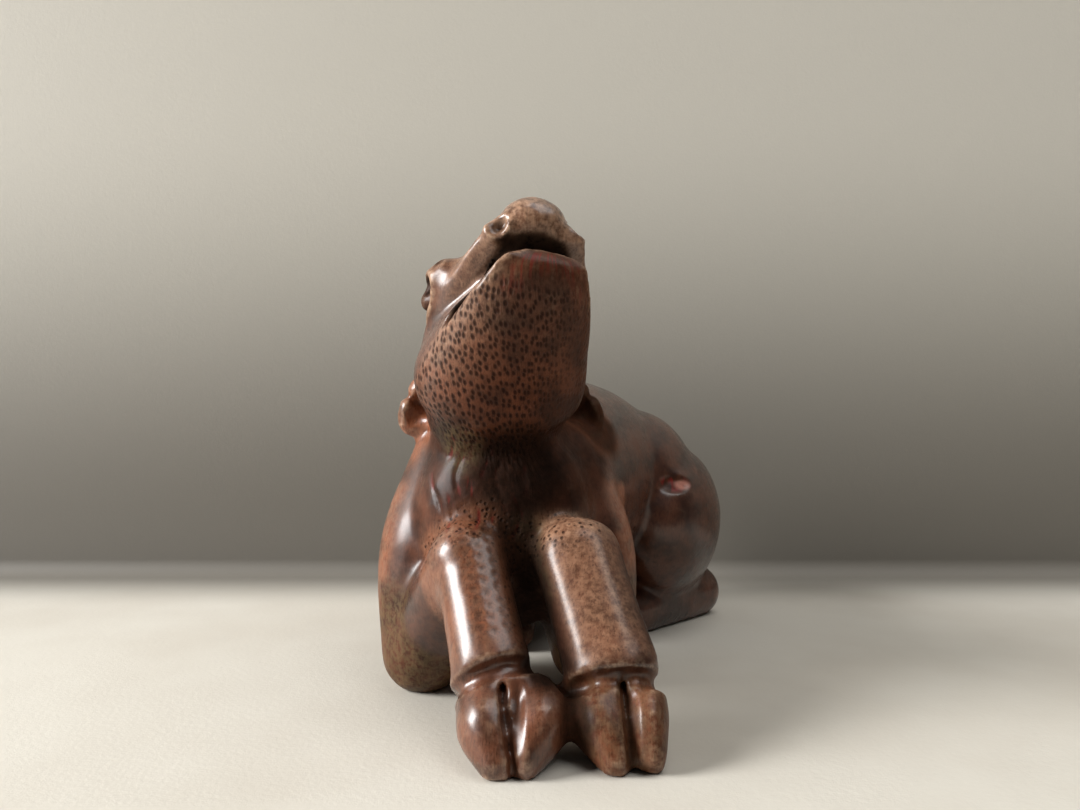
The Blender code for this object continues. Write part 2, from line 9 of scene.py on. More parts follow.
import logging
import math
from dataclasses import dataclass, field
from enum import Enum
from typing import Optional, Union

import bpy
import numpy as np
from mathutils import Matrix, Vector, noise


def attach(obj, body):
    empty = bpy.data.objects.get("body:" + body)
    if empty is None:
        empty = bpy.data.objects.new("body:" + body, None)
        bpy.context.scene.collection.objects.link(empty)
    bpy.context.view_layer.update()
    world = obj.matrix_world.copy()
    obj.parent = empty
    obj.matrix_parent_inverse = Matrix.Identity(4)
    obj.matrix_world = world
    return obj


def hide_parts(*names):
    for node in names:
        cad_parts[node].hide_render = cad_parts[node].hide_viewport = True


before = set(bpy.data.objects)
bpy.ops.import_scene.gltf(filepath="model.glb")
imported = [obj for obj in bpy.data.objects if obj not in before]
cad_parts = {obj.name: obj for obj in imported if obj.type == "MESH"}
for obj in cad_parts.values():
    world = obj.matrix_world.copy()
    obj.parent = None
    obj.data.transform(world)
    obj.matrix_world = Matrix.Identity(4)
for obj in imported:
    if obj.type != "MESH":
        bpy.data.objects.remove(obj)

MM = 0.001
NODE = "deer_figure"
SLOT = "stained_wood"

MIX_INPUTS = (0, 6, 7)  # a Mix node's sockets for the share and the two colours
MIX_OUTPUT = 2

Colour = tuple[float, float, float]
Number = Union[float, "Value"]
Band = tuple[float, float]  # where something starts, and where it is full

log = logging.getLogger("deer")


class Side(Enum):
    """The deer's own sides. Its right side is on the viewer's left."""

    RIGHT = 1
    LEFT = -1


class Mark(Enum):
    """What a place on the skin is marked with, from 0 to 1. LIE is a place in rows of hair."""

    # The first mark is soot in cuts, together with painted shade in cuts, creases, gaps and
    # undersides.
    SOOT_AND_SHADE = "hollow"
    # The ridge mark is rubbed wear on high places, with painted highlights on some rims and
    # window-side edges.
    RIDGE = "ridge"
    TAN = "tan"
    EMBER = "ember"
    DUST = "dust"
    BLOOD = "blood"
    SPLIT = "split"
    PITTED = "pitted"
    DOTTED = "dotted"
    LINED = "lined"
    MATTE = "matte"
    LIE = "lie"


def rise(values: np.ndarray, start: float, end: float) -> np.ndarray:
    """Rises smoothly from 0 at start to 1 at end, or falls where end is the lower one."""
    share = np.clip((values - start) / (end - start), 0, 1)
    return share * share * (3 - 2 * share)


def bell(values: np.ndarray, width: float) -> np.ndarray:
    """A bell curve, 1 at 0 and about a third at the width."""
    return np.exp(-((values / width) ** 2))


def placed(name: str, data: bpy.types.ID) -> bpy.types.Object:
    """A new object in the scene, which shows a mesh, a light or a camera.

    Args:
        name: The object's name.
        data: What it shows.

    Returns:
        The object.
    """
    thing = bpy.data.objects.new(name, data)
    bpy.context.scene.collection.objects.link(thing)
    return thing


# Shader graph


class Value:
    """A node's output socket. Arithmetic on it adds Math nodes."""

    def __init__(self, graph: "Graph", socket: bpy.types.NodeSocket) -> None:
        """Keeps the socket and the graph that it is in."""
        self.graph = graph
        self.socket = socket

    def maths(self, operation: str, *terms: Number) -> "Value":
        """Adds a Math node.

        Args:
            operation: The node's operation.
            terms: Its inputs in order, numbers or values.

        Returns:
            The node's result.
        """
        inputs = dict(enumerate(terms))
        return self.graph.node("ShaderNodeMath", {"operation": operation}, inputs)

    def __add__(self, other: Number) -> "Value":
        """Sum."""
        return self.maths("ADD", self, other)

    def __sub__(self, other: Number) -> "Value":
        """Difference."""
        return self.maths("SUBTRACT", self, other)

    def __rsub__(self, other: Number) -> "Value":
        """Difference from a number."""
        return self.maths("SUBTRACT", other, self)

    def __mul__(self, other: Number) -> "Value":
        """Product."""
        return self.maths("MULTIPLY", self, other)

    __radd__ = __add__
    __rmul__ = __mul__

    def most(self, other: Number) -> "Value":
        """The larger of the two."""
        return self.maths("MAXIMUM", self, other)

    def band(self, start: float, end: float) -> "Value":
        """Rises smoothly from 0 at start to 1 at end, or falls where end is the lower one.

        Args:
            start: The value that gives 0.
            end: The value that gives 1.

        Returns:
            A value from 0 to 1.
        """
        low, high = (0.0, 1.0) if start < end else (1.0, 0.0)
        inputs = {"Value": self, "From Min": min(start, end), "From Max": max(start, end),
                  "To Min": low, "To Max": high}
        return self.graph.node("ShaderNodeMapRange", {"interpolation_type": "SMOOTHSTEP"}, inputs)


class Graph:
    """A material's node tree, to which nodes are added by their type."""

    def __init__(self, name: str) -> None:
        """Starts a material with its standard shader.

        Args:
            name: The name of the material.
        """
        self.material = bpy.data.materials.new(name)
        self.material.use_nodes = True
        self.tree = self.material.node_tree
        self.shader = self.tree.nodes["Principled BSDF"]

    def node(self, kind: str, settings: dict, inputs: dict, output: Union[int, str] = 0) -> Value:
        """Adds any node.

        Args:
            kind: The node's type.
            settings: Its properties, which are set first.
            inputs: The numbers, tuples or values of its sockets, by name or place.
            output: The name or place of the socket that is wanted.

        Returns:
            That output socket.
        """
        node = self.tree.nodes.new(kind)
        for name, value in settings.items():
            setattr(node, name, value)
        for key, value in inputs.items():
            self.connect(node.inputs[key], value)
        return Value(self, node.outputs[output])

    def connect(self, socket: bpy.types.NodeSocket, value: Union[Number, tuple]) -> None:
        """Sets a socket to a number or tuple, or links a value to it.

        Args:
            socket: The input socket.
            value: What it gets.
        """
        if isinstance(value, Value):
            self.tree.links.new(value.socket, socket)
        else:
            socket.default_value = value

    def dress(self, **inputs: Number) -> None:
        """Sets the shader's sockets, each named with _ for a space."""
        for name, value in inputs.items():
            self.connect(self.shader.inputs[name.replace("_", " ")], value)

    def mark(self, mark: Mark, output: str = "Fac") -> Value:
        """A mark that the skin carries."""
        return self.node("ShaderNodeAttribute", {"attribute_name": mark.value}, {}, output)

    def place(self) -> Value:
        """The place on the object, in metres."""
        return self.node("ShaderNodeTexCoord", {}, {}, "Object")

    def stretched(self, vector: Value, scale: tuple, turn: tuple = (0.0, 0.0, 0.0)) -> Value:
        """The vector turned and scaled."""
        inputs = {"Vector": vector, "Rotation": turn, "Scale": scale}
        return self.node("ShaderNodeMapping", {}, inputs)

    def noise(self, vector: Value, size: float, detail: float = 3.0,
              roughness: float = 0.5) -> Value:
        """Cloudy noise.

        Args:
            vector: Where it is read.
            size: The size of its blobs, in the vector's unit.
            detail: How many finer layers it has.
            roughness: How strong they are.

        Returns:
            A value around 0.5.
        """
        inputs = {"Vector": vector, "Scale": 1 / size, "Detail": detail, "Roughness": roughness}
        return self.node("ShaderNodeTexNoise", {}, inputs)

    def cells(self, vector: Value, size: float, scatter: float, flat: bool = False) -> Value:
        """Distance from the middle of the nearest cell, in cells.

        Args:
            vector: Where it is read.
            size: The distance between cells, in the vector's unit.
            scatter: How irregular they are, from 0 to 1.
            flat: Whether only the vector's first two parts count.

        Returns:
            The distance, 0 in a cell's middle.
        """
        settings = {"voronoi_dimensions": "2D" if flat else "3D"}
        inputs = {"Vector": vector, "Scale": 1 / size, "Randomness": scatter}
        return self.node("ShaderNodeTexVoronoi", settings, inputs, "Distance")

    def mix(self, share: Number, first: Union[Colour, Value],
            second: Union[Colour, Value]) -> Value:
        """Mixes two colours.

        Args:
            share: How much of the second shows.
            first: The colour at 0.
            second: The colour at 1.

        Returns:
            The mixed colour.
        """
        ends = [end if isinstance(end, Value) else (*end, 1.0) for end in (first, second)]
        inputs = dict(zip(MIX_INPUTS, (share, *ends)))
        return self.node("ShaderNodeMix", {"data_type": "RGBA"}, inputs, MIX_OUTPUT)

    def bump(self, height: Value, depth: float, normal: Optional[Value] = None) -> Value:
        """Tilts the surface's normal.

        Args:
            height: The relief, 0 to 1.
            depth: How deep that is, in metres.
            normal: The normal that it tilts, if not the surface's own.

        Returns:
            The tilted normal.
        """
        inputs: dict = {"Height": height, "Distance": depth, "Strength": 1.0}
        if normal is not None:
            inputs["Normal"] = normal
        return self.node("ShaderNodeBump", {}, inputs)


# Finishes


@dataclass(frozen=True)
class Grain:
    """What the wood's finish is mixed from.

    Attributes:
        place: The place on the object.
        lie: The place along and across the lie of the hair, in rows.
        blotch: Broad patches.
        fleck: Small patches.
        pore: Fine marks along the grain.
        strokes: Marks along the lie of the hair.
        pits: The knife's small pits, 1 in the middle of one.
        hollow: How deep in a cut the place is, and how much painted shade it takes.
        ridge: How far it stands out, and where a painted highlight goes.
    """

    place: Value
    lie: Value
    blotch: Value
    fleck: Value
    pore: Value
    strokes: Value
    pits: Value
    hollow: Value
    ridge: Value


@dataclass(frozen=True)
class StainedWood:
    """Hardwood stained dark red-brown, rubbed pale on its high places and black in its cuts, with
    painted shade and painted highlights.
    """

    heart: Colour = (0.098, 0.034, 0.017)
    shade: Colour = (0.03, 0.0095, 0.0045)
    ember: Colour = (0.28, 0.075, 0.026)
    tan: Colour = (0.27, 0.138, 0.08)
    # Pale rubbed tone: wear on high places, and painted highlights where the ridge mark is put for
    # them.
    rubbed: Colour = (0.50, 0.33, 0.22)
    dust: Colour = (0.15, 0.105, 0.05)
    # Near-black: soot in the cuts, and painted shade in cuts, gaps and undersides.
    soot_and_shade: Colour = (0.007, 0.0035, 0.002)
    pit: Colour = (0.02, 0.007, 0.0035)
    blood: Colour = (0.17, 0.016, 0.011)
    split: Colour = (0.55, 0.24, 0.18)
    blotch_size: float = 4.2 * MM
    blotch_stretch: tuple = (1.0, 0.4, 1.0)
    fleck_size: float = 0.8 * MM
    pore_size: float = 0.28 * MM
    pore_stretch: tuple = (1.0, 1.0, 1 / 7)
    pore_turn: tuple = (0.25, 0.1, 0.0)
    stroke_stretch: tuple = (3.5, 0.55, 1.0)
    streak_stretch: tuple = (1.1, 0.3, 1.0)
    loose_pit_size: float = 0.85 * MM
    line_size: float = 0.24 * MM
    line_stretch: tuple = (1.0, 0.25, 0.12)
    facet_size: float = 3.6 * MM
    facet_depth: float = 0.32 * MM
    pit_depth: float = 0.16 * MM
    pore_depth: float = 0.03 * MM
    fleck_depth: float = 0.07 * MM
    line_depth: float = 0.05 * MM
    sheen: float = 0.05
    coat: float = 1.0
    coat_roughness: float = 0.27
    coat_index: float = 1.5

    def material(self) -> bpy.types.Material:
        """Builds the finish.

        Returns:
            The wood's material, which reads the skin's marks.
        """
        graph = Graph(SLOT)
        place = graph.place()
        lie = graph.mark(Mark.LIE, "Vector")
        along = graph.stretched(place, self.pore_stretch, self.pore_turn)
        patches = graph.stretched(place, self.blotch_stretch)
        grain = Grain(
            place=place,
            lie=lie,
            blotch=graph.noise(patches, self.blotch_size, 5.0, 0.6),
            fleck=graph.noise(place, self.fleck_size, 3.0, 0.6),
            pore=graph.noise(along, self.pore_size, 3.0, 0.65),
            strokes=graph.noise(graph.stretched(lie, self.stroke_stretch), 1.0, 2.0),
            pits=self.pits(graph, place, lie),
            hollow=graph.mark(Mark.SOOT_AND_SHADE),
            ridge=graph.mark(Mark.RIDGE),
        )
        graph.dress(Base_Color=self.colour(graph, grain), Normal=self.relief(graph, grain))
        self.gloss(graph, grain)
        return graph.material

    def pits(self, graph: Graph, place: Value, lie: Value) -> Value:
        """The knife's small pits that stand for hair, in rows or loose.

        Args:
            graph: The graph they are added to.
            place: The place on the object.
            lie: The place along and across the lie of the hair, in rows.

        Returns:
            1 in the middle of a pit and 0 between pits.
        """
        rows = graph.cells(lie, 1.0, 0.72, flat=True).band(0.46, 0.12)
        loose = graph.cells(place, self.loose_pit_size, 0.8).band(0.4, 0.12)
        return (rows * graph.mark(Mark.PITTED)).most(loose * graph.mark(Mark.DOTTED))

    def colour(self, graph: Graph, grain: Grain) -> Value:
        """The wood's colour, from its stain up to the dirt and painted shade in its cuts.

        Args:
            graph: The graph it is added to.
            grain: What it is mixed from.

        Returns:
            The colour.
        """
        streaks = graph.noise(graph.stretched(grain.lie, self.streak_stretch), 1.0, 1.0)
        coats = (
            (graph.mark(Mark.TAN) * (0.35 + 0.9 * grain.fleck.band(0.3, 0.72)), self.tan),
            (graph.mark(Mark.EMBER) * grain.blotch.band(0.2, 0.7), self.ember),
            (grain.pore.band(0.5, 0.32) * 0.5, self.shade),
            (graph.mark(Mark.PITTED) * grain.strokes.band(0.5, 0.3) * 0.45, self.shade),
            # Pale tone on ridges: wear, with painted highlights on some rims and edges.
            (grain.ridge * grain.fleck.band(0.25, 0.75), self.rubbed),
            (graph.mark(Mark.DUST) * grain.fleck.band(0.32, 0.62), self.dust),
            (graph.mark(Mark.BLOOD) * streaks.band(0.47, 0.58), self.blood),
            (grain.pits * 0.85, self.pit),
            # Near-black in cuts and in shaded places: soot together with painted shade.
            (grain.hollow * (0.74 + 0.4 * grain.fleck), self.soot_and_shade),
            (graph.mark(Mark.SPLIT), self.split),
        )
        colour = graph.mix(grain.blotch.band(0.32, 0.66), self.shade, self.heart)
        for share, coat in coats:
            colour = graph.mix(share, colour, coat)
        return colour

    def gloss(self, graph: Graph, grain: Grain) -> None:
        """Sets how the wood shines: polished high places, and dull cuts.

        Args:
            graph: The graph it is added to.
            grain: What it is mixed from.
        """
        dull = (grain.pits * 0.6).most(grain.hollow).most(graph.mark(Mark.DUST) * 0.7)
        rough = 0.32 + 0.12 * grain.blotch + 0.16 * grain.fleck.band(0.35, 0.8)
        worn = 1 - 0.85 * graph.mark(Mark.MATTE)
        graph.dress(Roughness=rough + 0.35 * dull - 0.04 * grain.ridge,
                    Specular_IOR_Level=self.sheen,
                    Coat_Weight=self.coat * (1 - dull.band(0.0, 0.9)) * worn,
                    Coat_Roughness=self.coat_roughness,
                    Coat_IOR=self.coat_index)

    def relief(self, graph: Graph, grain: Grain) -> Value:
        """The knife's facets, the pits, the hoof lines and the open pores.

        Args:
            graph: The graph it is added to.
            grain: What it is mixed from.

        Returns:
            The tilted normal.
        """
        lines = graph.noise(graph.stretched(grain.place, self.line_stretch), self.line_size, 1.0)
        cuts = (
            (graph.cells(grain.place, self.facet_size, 1.0), self.facet_depth),
            (grain.fleck, self.fleck_depth),
            (1 - grain.pits, self.pit_depth),
            (lines * graph.mark(Mark.LINED), self.line_depth),
            (grain.strokes * graph.mark(Mark.PITTED), self.line_depth),
            (grain.pore, self.pore_depth),
        )
        normal = None
        for height, depth in cuts:
            normal = graph.bump(height, depth, normal)
        return normal


@dataclass(frozen=True)
class PalePaint:
    """Pale paint on a scuffed board and on the wall behind it, with painted shade where the two
    meet.
    """

    board: Colour = (0.57, 0.54, 0.475)
    scuffed: Colour = (0.49, 0.45, 0.385)
    # Painted shade for the foot of the wall and the back of the board.
    wall_foot_shade: Colour = (0.14, 0.127, 0.105)
    wall: Colour = (0.48, 0.455, 0.40)
    roughness: float = 0.7
    patch: float = 60 * MM
    speck: float = 0.9 * MM
    speck_depth: float = 0.05 * MM
    board_shade_reach: float = 34 * MM
    wall_shade_height: float = 14 * MM
    clear_height: float = 120 * MM

    def material(self, wall_place: float) -> bpy.types.Material:
        """Builds the finish, which is clear from behind so that the deer's back can be seen.

        Args:
            wall_place: How far back the wall stands.

        Returns:
            The paint's material.
        """
        graph = Graph("pale_paint")
        place = graph.place()
        back, height = (graph.node("ShaderNodeSeparateXYZ", {}, {"Vector": place}, axis)
                        for axis in "YZ")
        broad = graph.noise(place, self.patch, 4.0, 0.6).band(0.35, 0.7)
        fine = graph.noise(place, self.speck, 4.0, 0.7)
        board = graph.mix(broad * 0.7, self.board, self.scuffed)
        board = graph.mix(fine.band(0.62, 0.75) * 0.25, board, self.scuffed)
        # Painted shade: the wall darkens towards its foot, and the board darkens as it nears the
        # wall.
        wall = graph.mix(height.band(self.wall_shade_height, self.clear_height), self.wall_foot_shade, self.wall)
        colour = graph.mix(back.band(wall_place - self.board_shade_reach, wall_place), board, wall)
        behind = graph.node("ShaderNodeNewGeometry", {}, {}, "Backfacing")
        graph.dress(Base_Color=colour, Roughness=self.roughness, Alpha=1 - behind,
                    Normal=graph.bump(fine, self.speck_depth))
        return graph.material


# The skin


class Skin:
    """The deer's skin while it is worked, with its places and marks held as arrays."""

    def __init__(self, obj: bpy.types.Object) -> None:
        """Reads the object's mesh."""
        self.obj = obj
        self.read()

    def read(self) -> None:
        """Takes the places, normals and neighbours from the mesh, and clears the marks."""
        mesh = self.obj.data
        count = len(mesh.vertices)
        places = np.empty(3 * count, np.float32)
        mesh.vertices.foreach_get("co", places)
        self.places = places.reshape(-1, 3).astype(float)
        edges = np.empty(2 * len(mesh.edges), np.int32)
        mesh.edges.foreach_get("vertices", edges)
        self.edges = edges.reshape(-1, 2)
        self.degree = np.maximum(np.bincount(self.edges.ravel(), minlength=count), 1)
        self.read_normals()
        self.marks = {mark: np.zeros(count) for mark in Mark if mark is not Mark.LIE}
        self.lie = np.zeros((count, 3))

    def read_normals(self) -> None:
        """Takes the normals that the places now give."""
        self.write_places()
        normals = np.empty(self.places.size, np.float32)
        self.obj.data.vertex_normals.foreach_get("vector", normals)
        self.normals = normals.reshape(-1, 3).astype(float)

    def write_places(self) -> None:
        """Puts the places back in the mesh."""
        self.obj.data.vertices.foreach_set("co", self.places.astype(np.float32).ravel())
        self.obj.data.update()

    def write_marks(self) -> None:
        """Puts the marks in the mesh."""
        attributes = self.obj.data.attributes
        for mark, values in self.marks.items():
            layer = attributes.new(mark.value, "FLOAT", "POINT")
            layer.data.foreach_set("value", np.clip(values, 0, 1).astype(np.float32))
        layer = attributes.new(Mark.LIE.value, "FLOAT_VECTOR", "POINT")
        layer.data.foreach_set("vector", self.lie.astype(np.float32).ravel())

    def averaged(self, values: np.ndarray, times: int,
                 share: Union[float, np.ndarray] = 0.6) -> np.ndarray:
        """Evens values out over the skin.

        Args:
            values: One value or one row per place.
            times: How often each is drawn towards its neighbours' mean.
            share: How far it is drawn.

        Returns:
            The evened values.
        """
        rows = values.reshape(len(values), -1).copy()
        one, two = self.edges[:, 0], self.edges[:, 1]
        count = len(rows)
        pull = np.broadcast_to(np.asarray(share, float).reshape(-1, 1), (count, 1))
        for _ in range(times):
            for column in range(rows.shape[1]):
                part = rows[:, column]
                total = np.bincount(one, part[two], count) + np.bincount(two, part[one], count)
                rows[:, column] += pull[:, 0] * (total / self.degree - part)
        return rows.reshape(values.shape)

    def relax(self, times: int, share: Union[float, np.ndarray] = 0.5) -> None:
        """Rubs the skin smooth where share is above 0."""
        self.places = self.averaged(self.places, times, share)
        self.read_normals()

    def press(self, depth: np.ndarray) -> None:
        """Moves each place inward by its depth, or outward where that is below 0."""
        self.places -= self.normals * depth[:, None]
        self.read_normals()

    def mark(self, mark: Mark, values: np.ndarray) -> None:
        """Adds to a mark."""
        self.marks[mark] = np.maximum(self.marks[mark], values)

    def around(self, place: Vector, reach: tuple[float, float, float]) -> np.ndarray:
        """1 at a place, falling smoothly to 0 at its reach across, along and upward."""
        away = np.linalg.norm((self.places - np.array(place)) / reach, axis=1)
        return rise(away, 1.0, 0.45)

    def relief(self, times: int) -> np.ndarray:
        """How far each place lies under the skin that rubbing so many times would leave."""
        smooth = self.averaged(self.places, times)
        return np.einsum("ij,ij->i", smooth - self.places, self.normals)

    def cloud(self, size: float) -> np.ndarray:
        """Smooth noise from -1 to 1 at each place, with blobs of the given size."""
        scaled = self.places / size
        return np.array([noise.noise(Vector(row)) for row in scaled])


# The deer's places


@dataclass(frozen=True)
class Bench:
    """Where the block lay when it was laid out: its corner, seen from the row's frame."""

    shift: Vector = Vector((-6.015, -15.144, 0.0)) * MM

    def at(self, x: float, y: float, z: float) -> Vector:
        """A place given in millimetres on the bench."""
        return Vector((x, y, z)) * MM + self.shift


BENCH = Bench()


@dataclass(frozen=True)
class HeadFrame:
    """Directions and places in the head, from the point midway between the eyes."""

    middle: Vector = BENCH.at(-6.6, -4.0, 59.7)
    turn: float = math.radians(24)
    pitch: float = math.radians(47)

    def axes(self) -> tuple[Vector, Vector, Vector]:
        """Forward along the muzzle, to the deer's right, and up through its brow.

        Returns:
            The three directions.
        """
        turned = Matrix.Rotation(self.turn, 3, "Z")
        forward = turned @ Vector((0.0, -math.cos(self.pitch), math.sin(self.pitch)))
        right = turned @ Vector((-1.0, 0.0, 0.0))
        upward = turned @ Vector((0.0, math.sin(self.pitch), math.cos(self.pitch)))
        return forward, right, upward

    def at(self, forward: float, right: float, upward: float) -> Vector:
        """A place so many metres forward, right and upward in the head."""
        along, across, up = self.axes()
        return self.middle + along * forward + across * right + up * upward

    def split(self, places: np.ndarray) -> tuple[np.ndarray, np.ndarray, np.ndarray]:
        """How far forward, right and upward each place lies."""
        away = places - np.array(self.middle)
        return tuple(away @ np.array(axis) for axis in self.axes())


HEAD = HeadFrame()


@dataclass
class Mouth:
    """The slit between the lips, its raised rims and the streaked chin under it."""

    drop: float = 9.95 * MM
    gap: float = 1.9 * MM
    corner: float = 2.6 * MM
    slant: float = math.radians(9)
    droop: float = 3.3 * MM
    droop_end: float = 0.64 * math.pi
    corner_fade: float = 1.5 * MM
    front: float = 12 * MM
    rim_height: float = 0.2 * MM
    rim_width: float = 0.5 * MM
    streak_length: float = 4.5 * MM
    streak_reach: float = 4.5 * MM
    streak_middle: float = 1.0 * MM
    open_band: Band = (6 * MM, 10 * MM)
    inner_band: Band = (0.55, 0.8)
    matte_width: float = 1.8 * MM
    worn_width: float = 0.3 * MM
    roof_height: float = 0.8 * MM

    def over(self, forward: np.ndarray, right: np.ndarray, upward: np.ndarray) -> np.ndarray:
        """How far above the slit a place lies."""
        level = math.cos(self.slant) * upward - math.sin(self.slant) * right
        return level + self.drop + self.sag(forward, right)

    def sag(self, forward: np.ndarray, right: np.ndarray) -> np.ndarray:
        """How far the slit has drooped at a place.

        Args:
            forward: How far forward in the head each place is.
            right: How far to the deer's right.

        Returns:
            The drop of the slit, in metres.
        """
        angle = np.abs(np.arctan2(right, forward - self.corner))
        angle = np.minimum(2 * angle, self.droop_end)
        return self.droop * np.sin(angle) ** 2

    def ahead(self, forward: np.ndarray) -> np.ndarray:
        """1 ahead of the mouth's corners and 0 behind them."""
        return rise(forward, self.corner - self.corner_fade, self.corner + self.corner_fade)

    def facing_up(self, skin: Skin) -> np.ndarray:
        """How squarely each place faces up or down in the head, from 0 to 1."""
        return np.abs(skin.normals @ np.array(HEAD.axes()[2]))

    def carve(self, skin: Skin) -> None:
        """Raises the lips along the slit.

        Args:
            skin: The deer's skin.
        """
        forward, right, upward = HEAD.split(skin.places)
        off = np.abs(self.over(forward, right, upward))
        ahead = self.ahead(forward)
        half = 0.5 * self.gap * (0.75 + 0.25 * rise(forward, self.corner, self.front))
        rim = bell(off - half - self.rim_width, self.rim_width)
        rim = rim * rise(self.facing_up(skin), 0.8, 0.5)
        skin.press(-self.rim_height * ahead * rim)

    def stain(self, skin: Skin) -> None:
        """Marks the worn rims, the slit dark with soot and painted shade that reaches onto the
        upper lip's underside, and the red streaks under the lower lip.

        Args:
            skin: The deer's skin.
        """
        forward, right, upward = HEAD.split(skin.places)
        off = self.over(forward, right, upward)
        ahead = self.ahead(forward)
        half = 0.5 * self.gap
        skin.mark(Mark.MATTE, 0.9 * ahead * bell(off, self.matte_width))
        inner = rise(self.facing_up(skin), *self.inner_band)
        front = rise(forward, 0.75 * self.front, self.front)
        open_part = np.where(right < 0, rise(forward, *self.open_band), front)
        sag = self.sag(forward, right)
        roof = half + open_part * sag + self.roof_height * (1 - front)
        worn = bell(-off - half - self.rim_width, self.worn_width)
        skin.mark(Mark.RIDGE, 0.45 * ahead * worn)
        # Painted shade with soot in the slit, reaching up onto the upper lip's underside.
        between = rise(-off, half, 0.7 * half) * rise(off, roof, 0.8 * roof)
        skin.mark(Mark.SOOT_AND_SHADE, ahead * between)
        # Painted shade on the faces in the slit that turn up or down in the head.
        level = np.abs(off - sag)
        skin.mark(Mark.SOOT_AND_SHADE, ahead * inner * rise(level, half + 0.5 * MM, half))
        below = rise(-off, half + 1.0 * MM, half + 1.6 * MM)
        below = below * rise(-off, half + self.streak_length, half + 2 * MM)
        across = bell(right - self.streak_middle, self.streak_reach)
        skin.mark(Mark.BLOOD, 0.8 * below * front * across)


@dataclass
class Eye:
    """An eye under a heavy lid, with a hollow before it and a drilled pupil."""

    side: Side
    spread: float = 23.8 * MM
    drop: float = 2.2 * MM
    length: float = 3.1 * MM
    height: float = 2.1 * MM
    lid_height: float = 0.34 * MM
    lid_width: float = 0.5 * MM
    hollow_depth: float = 0.55 * MM
    pupil: float = 0.7 * MM
    pupil_place: float = 0.25
    line_ring: float = 0.86
    lid_ring: float = 1.2
    pale_ring: float = 1.3
    brow_shade_ring: float = 1.75
    pale_width: float = 0.4 * MM
    line_width: float = 0.45 * MM
    corner_width: float = 0.8 * MM
    side_band: Band = (-6.5 * MM, -4.5 * MM)

    def local(self, skin: Skin) -> tuple[np.ndarray, np.ndarray, np.ndarray]:
        """How far forward, upward and outward of the eye's middle each place lies."""
        forward, right, upward = HEAD.split(skin.places)
        return forward, upward + self.drop, self.side.value * right - self.spread / 2

    def rings(self, along: np.ndarray, up: np.ndarray,
              out: np.ndarray) -> tuple[np.ndarray, np.ndarray]:
        """Where the skin is the eye's, and how many eye sizes a place is from its middle."""
        ring = np.sqrt((along / self.length) ** 2 + (up / self.height) ** 2)
        return rise(out, *self.side_band), ring

    def carve(self, skin: Skin) -> None:
        """Raises the lid, cuts the line within it and drills the pupil.

        Args:
            skin: The deer's skin.
        """
        along, up, out = self.local(skin)
        near, ring = self.rings(along, up, out)
        lid = bell((ring - self.lid_ring) * self.height, self.lid_width)
        line = bell((ring - self.line_ring) * self.height, 0.6 * self.lid_width)
        corner = bell(np.hypot(along - 0.85 * self.length, up), self.corner_width)
        pupil = bell(np.hypot(along - self.pupil_place * self.length, up), 0.6 * self.pupil)
        depth = self.hollow_depth * (0.7 * line + 0.8 * corner + 0.7 * pupil)
        skin.press(near * (depth - self.lid_height * lid))

    def stain(self, skin: Skin) -> None:
        """Marks the pale lid, worn and painted as a highlight, the dark line and pupil, and painted
        shade in the crease under the brow.

        Args:
            skin: The deer's skin.
        """
        along, up, out = self.local(skin)
        near, ring = self.rings(along, up, out)
        pale = bell((ring - self.pale_ring) * self.height, self.pale_width)
        brow_shade = bell((ring - self.brow_shade_ring) * self.height, self.pale_width)
        line = bell((ring - self.line_ring) * self.height, self.line_width)
        # The pale lid ring: wear, with a painted highlight.
        skin.mark(Mark.RIDGE, 0.8 * near * pale)
        skin.mark(Mark.SOOT_AND_SHADE, near * line)
        # Painted shade in the crease under the brow.
        skin.mark(Mark.SOOT_AND_SHADE, 0.8 * near * brow_shade * (up > 0))
        skin.mark(Mark.SOOT_AND_SHADE, 0.4 * near * rise(ring, 0.9, 0.6))
        skin.mark(Mark.MATTE, 0.7 * near * rise(ring, 2.2, 1.6))
        away = np.hypot(along - self.pupil_place * self.length, up)
        skin.mark(Mark.SOOT_AND_SHADE, near * bell(away, self.pupil))


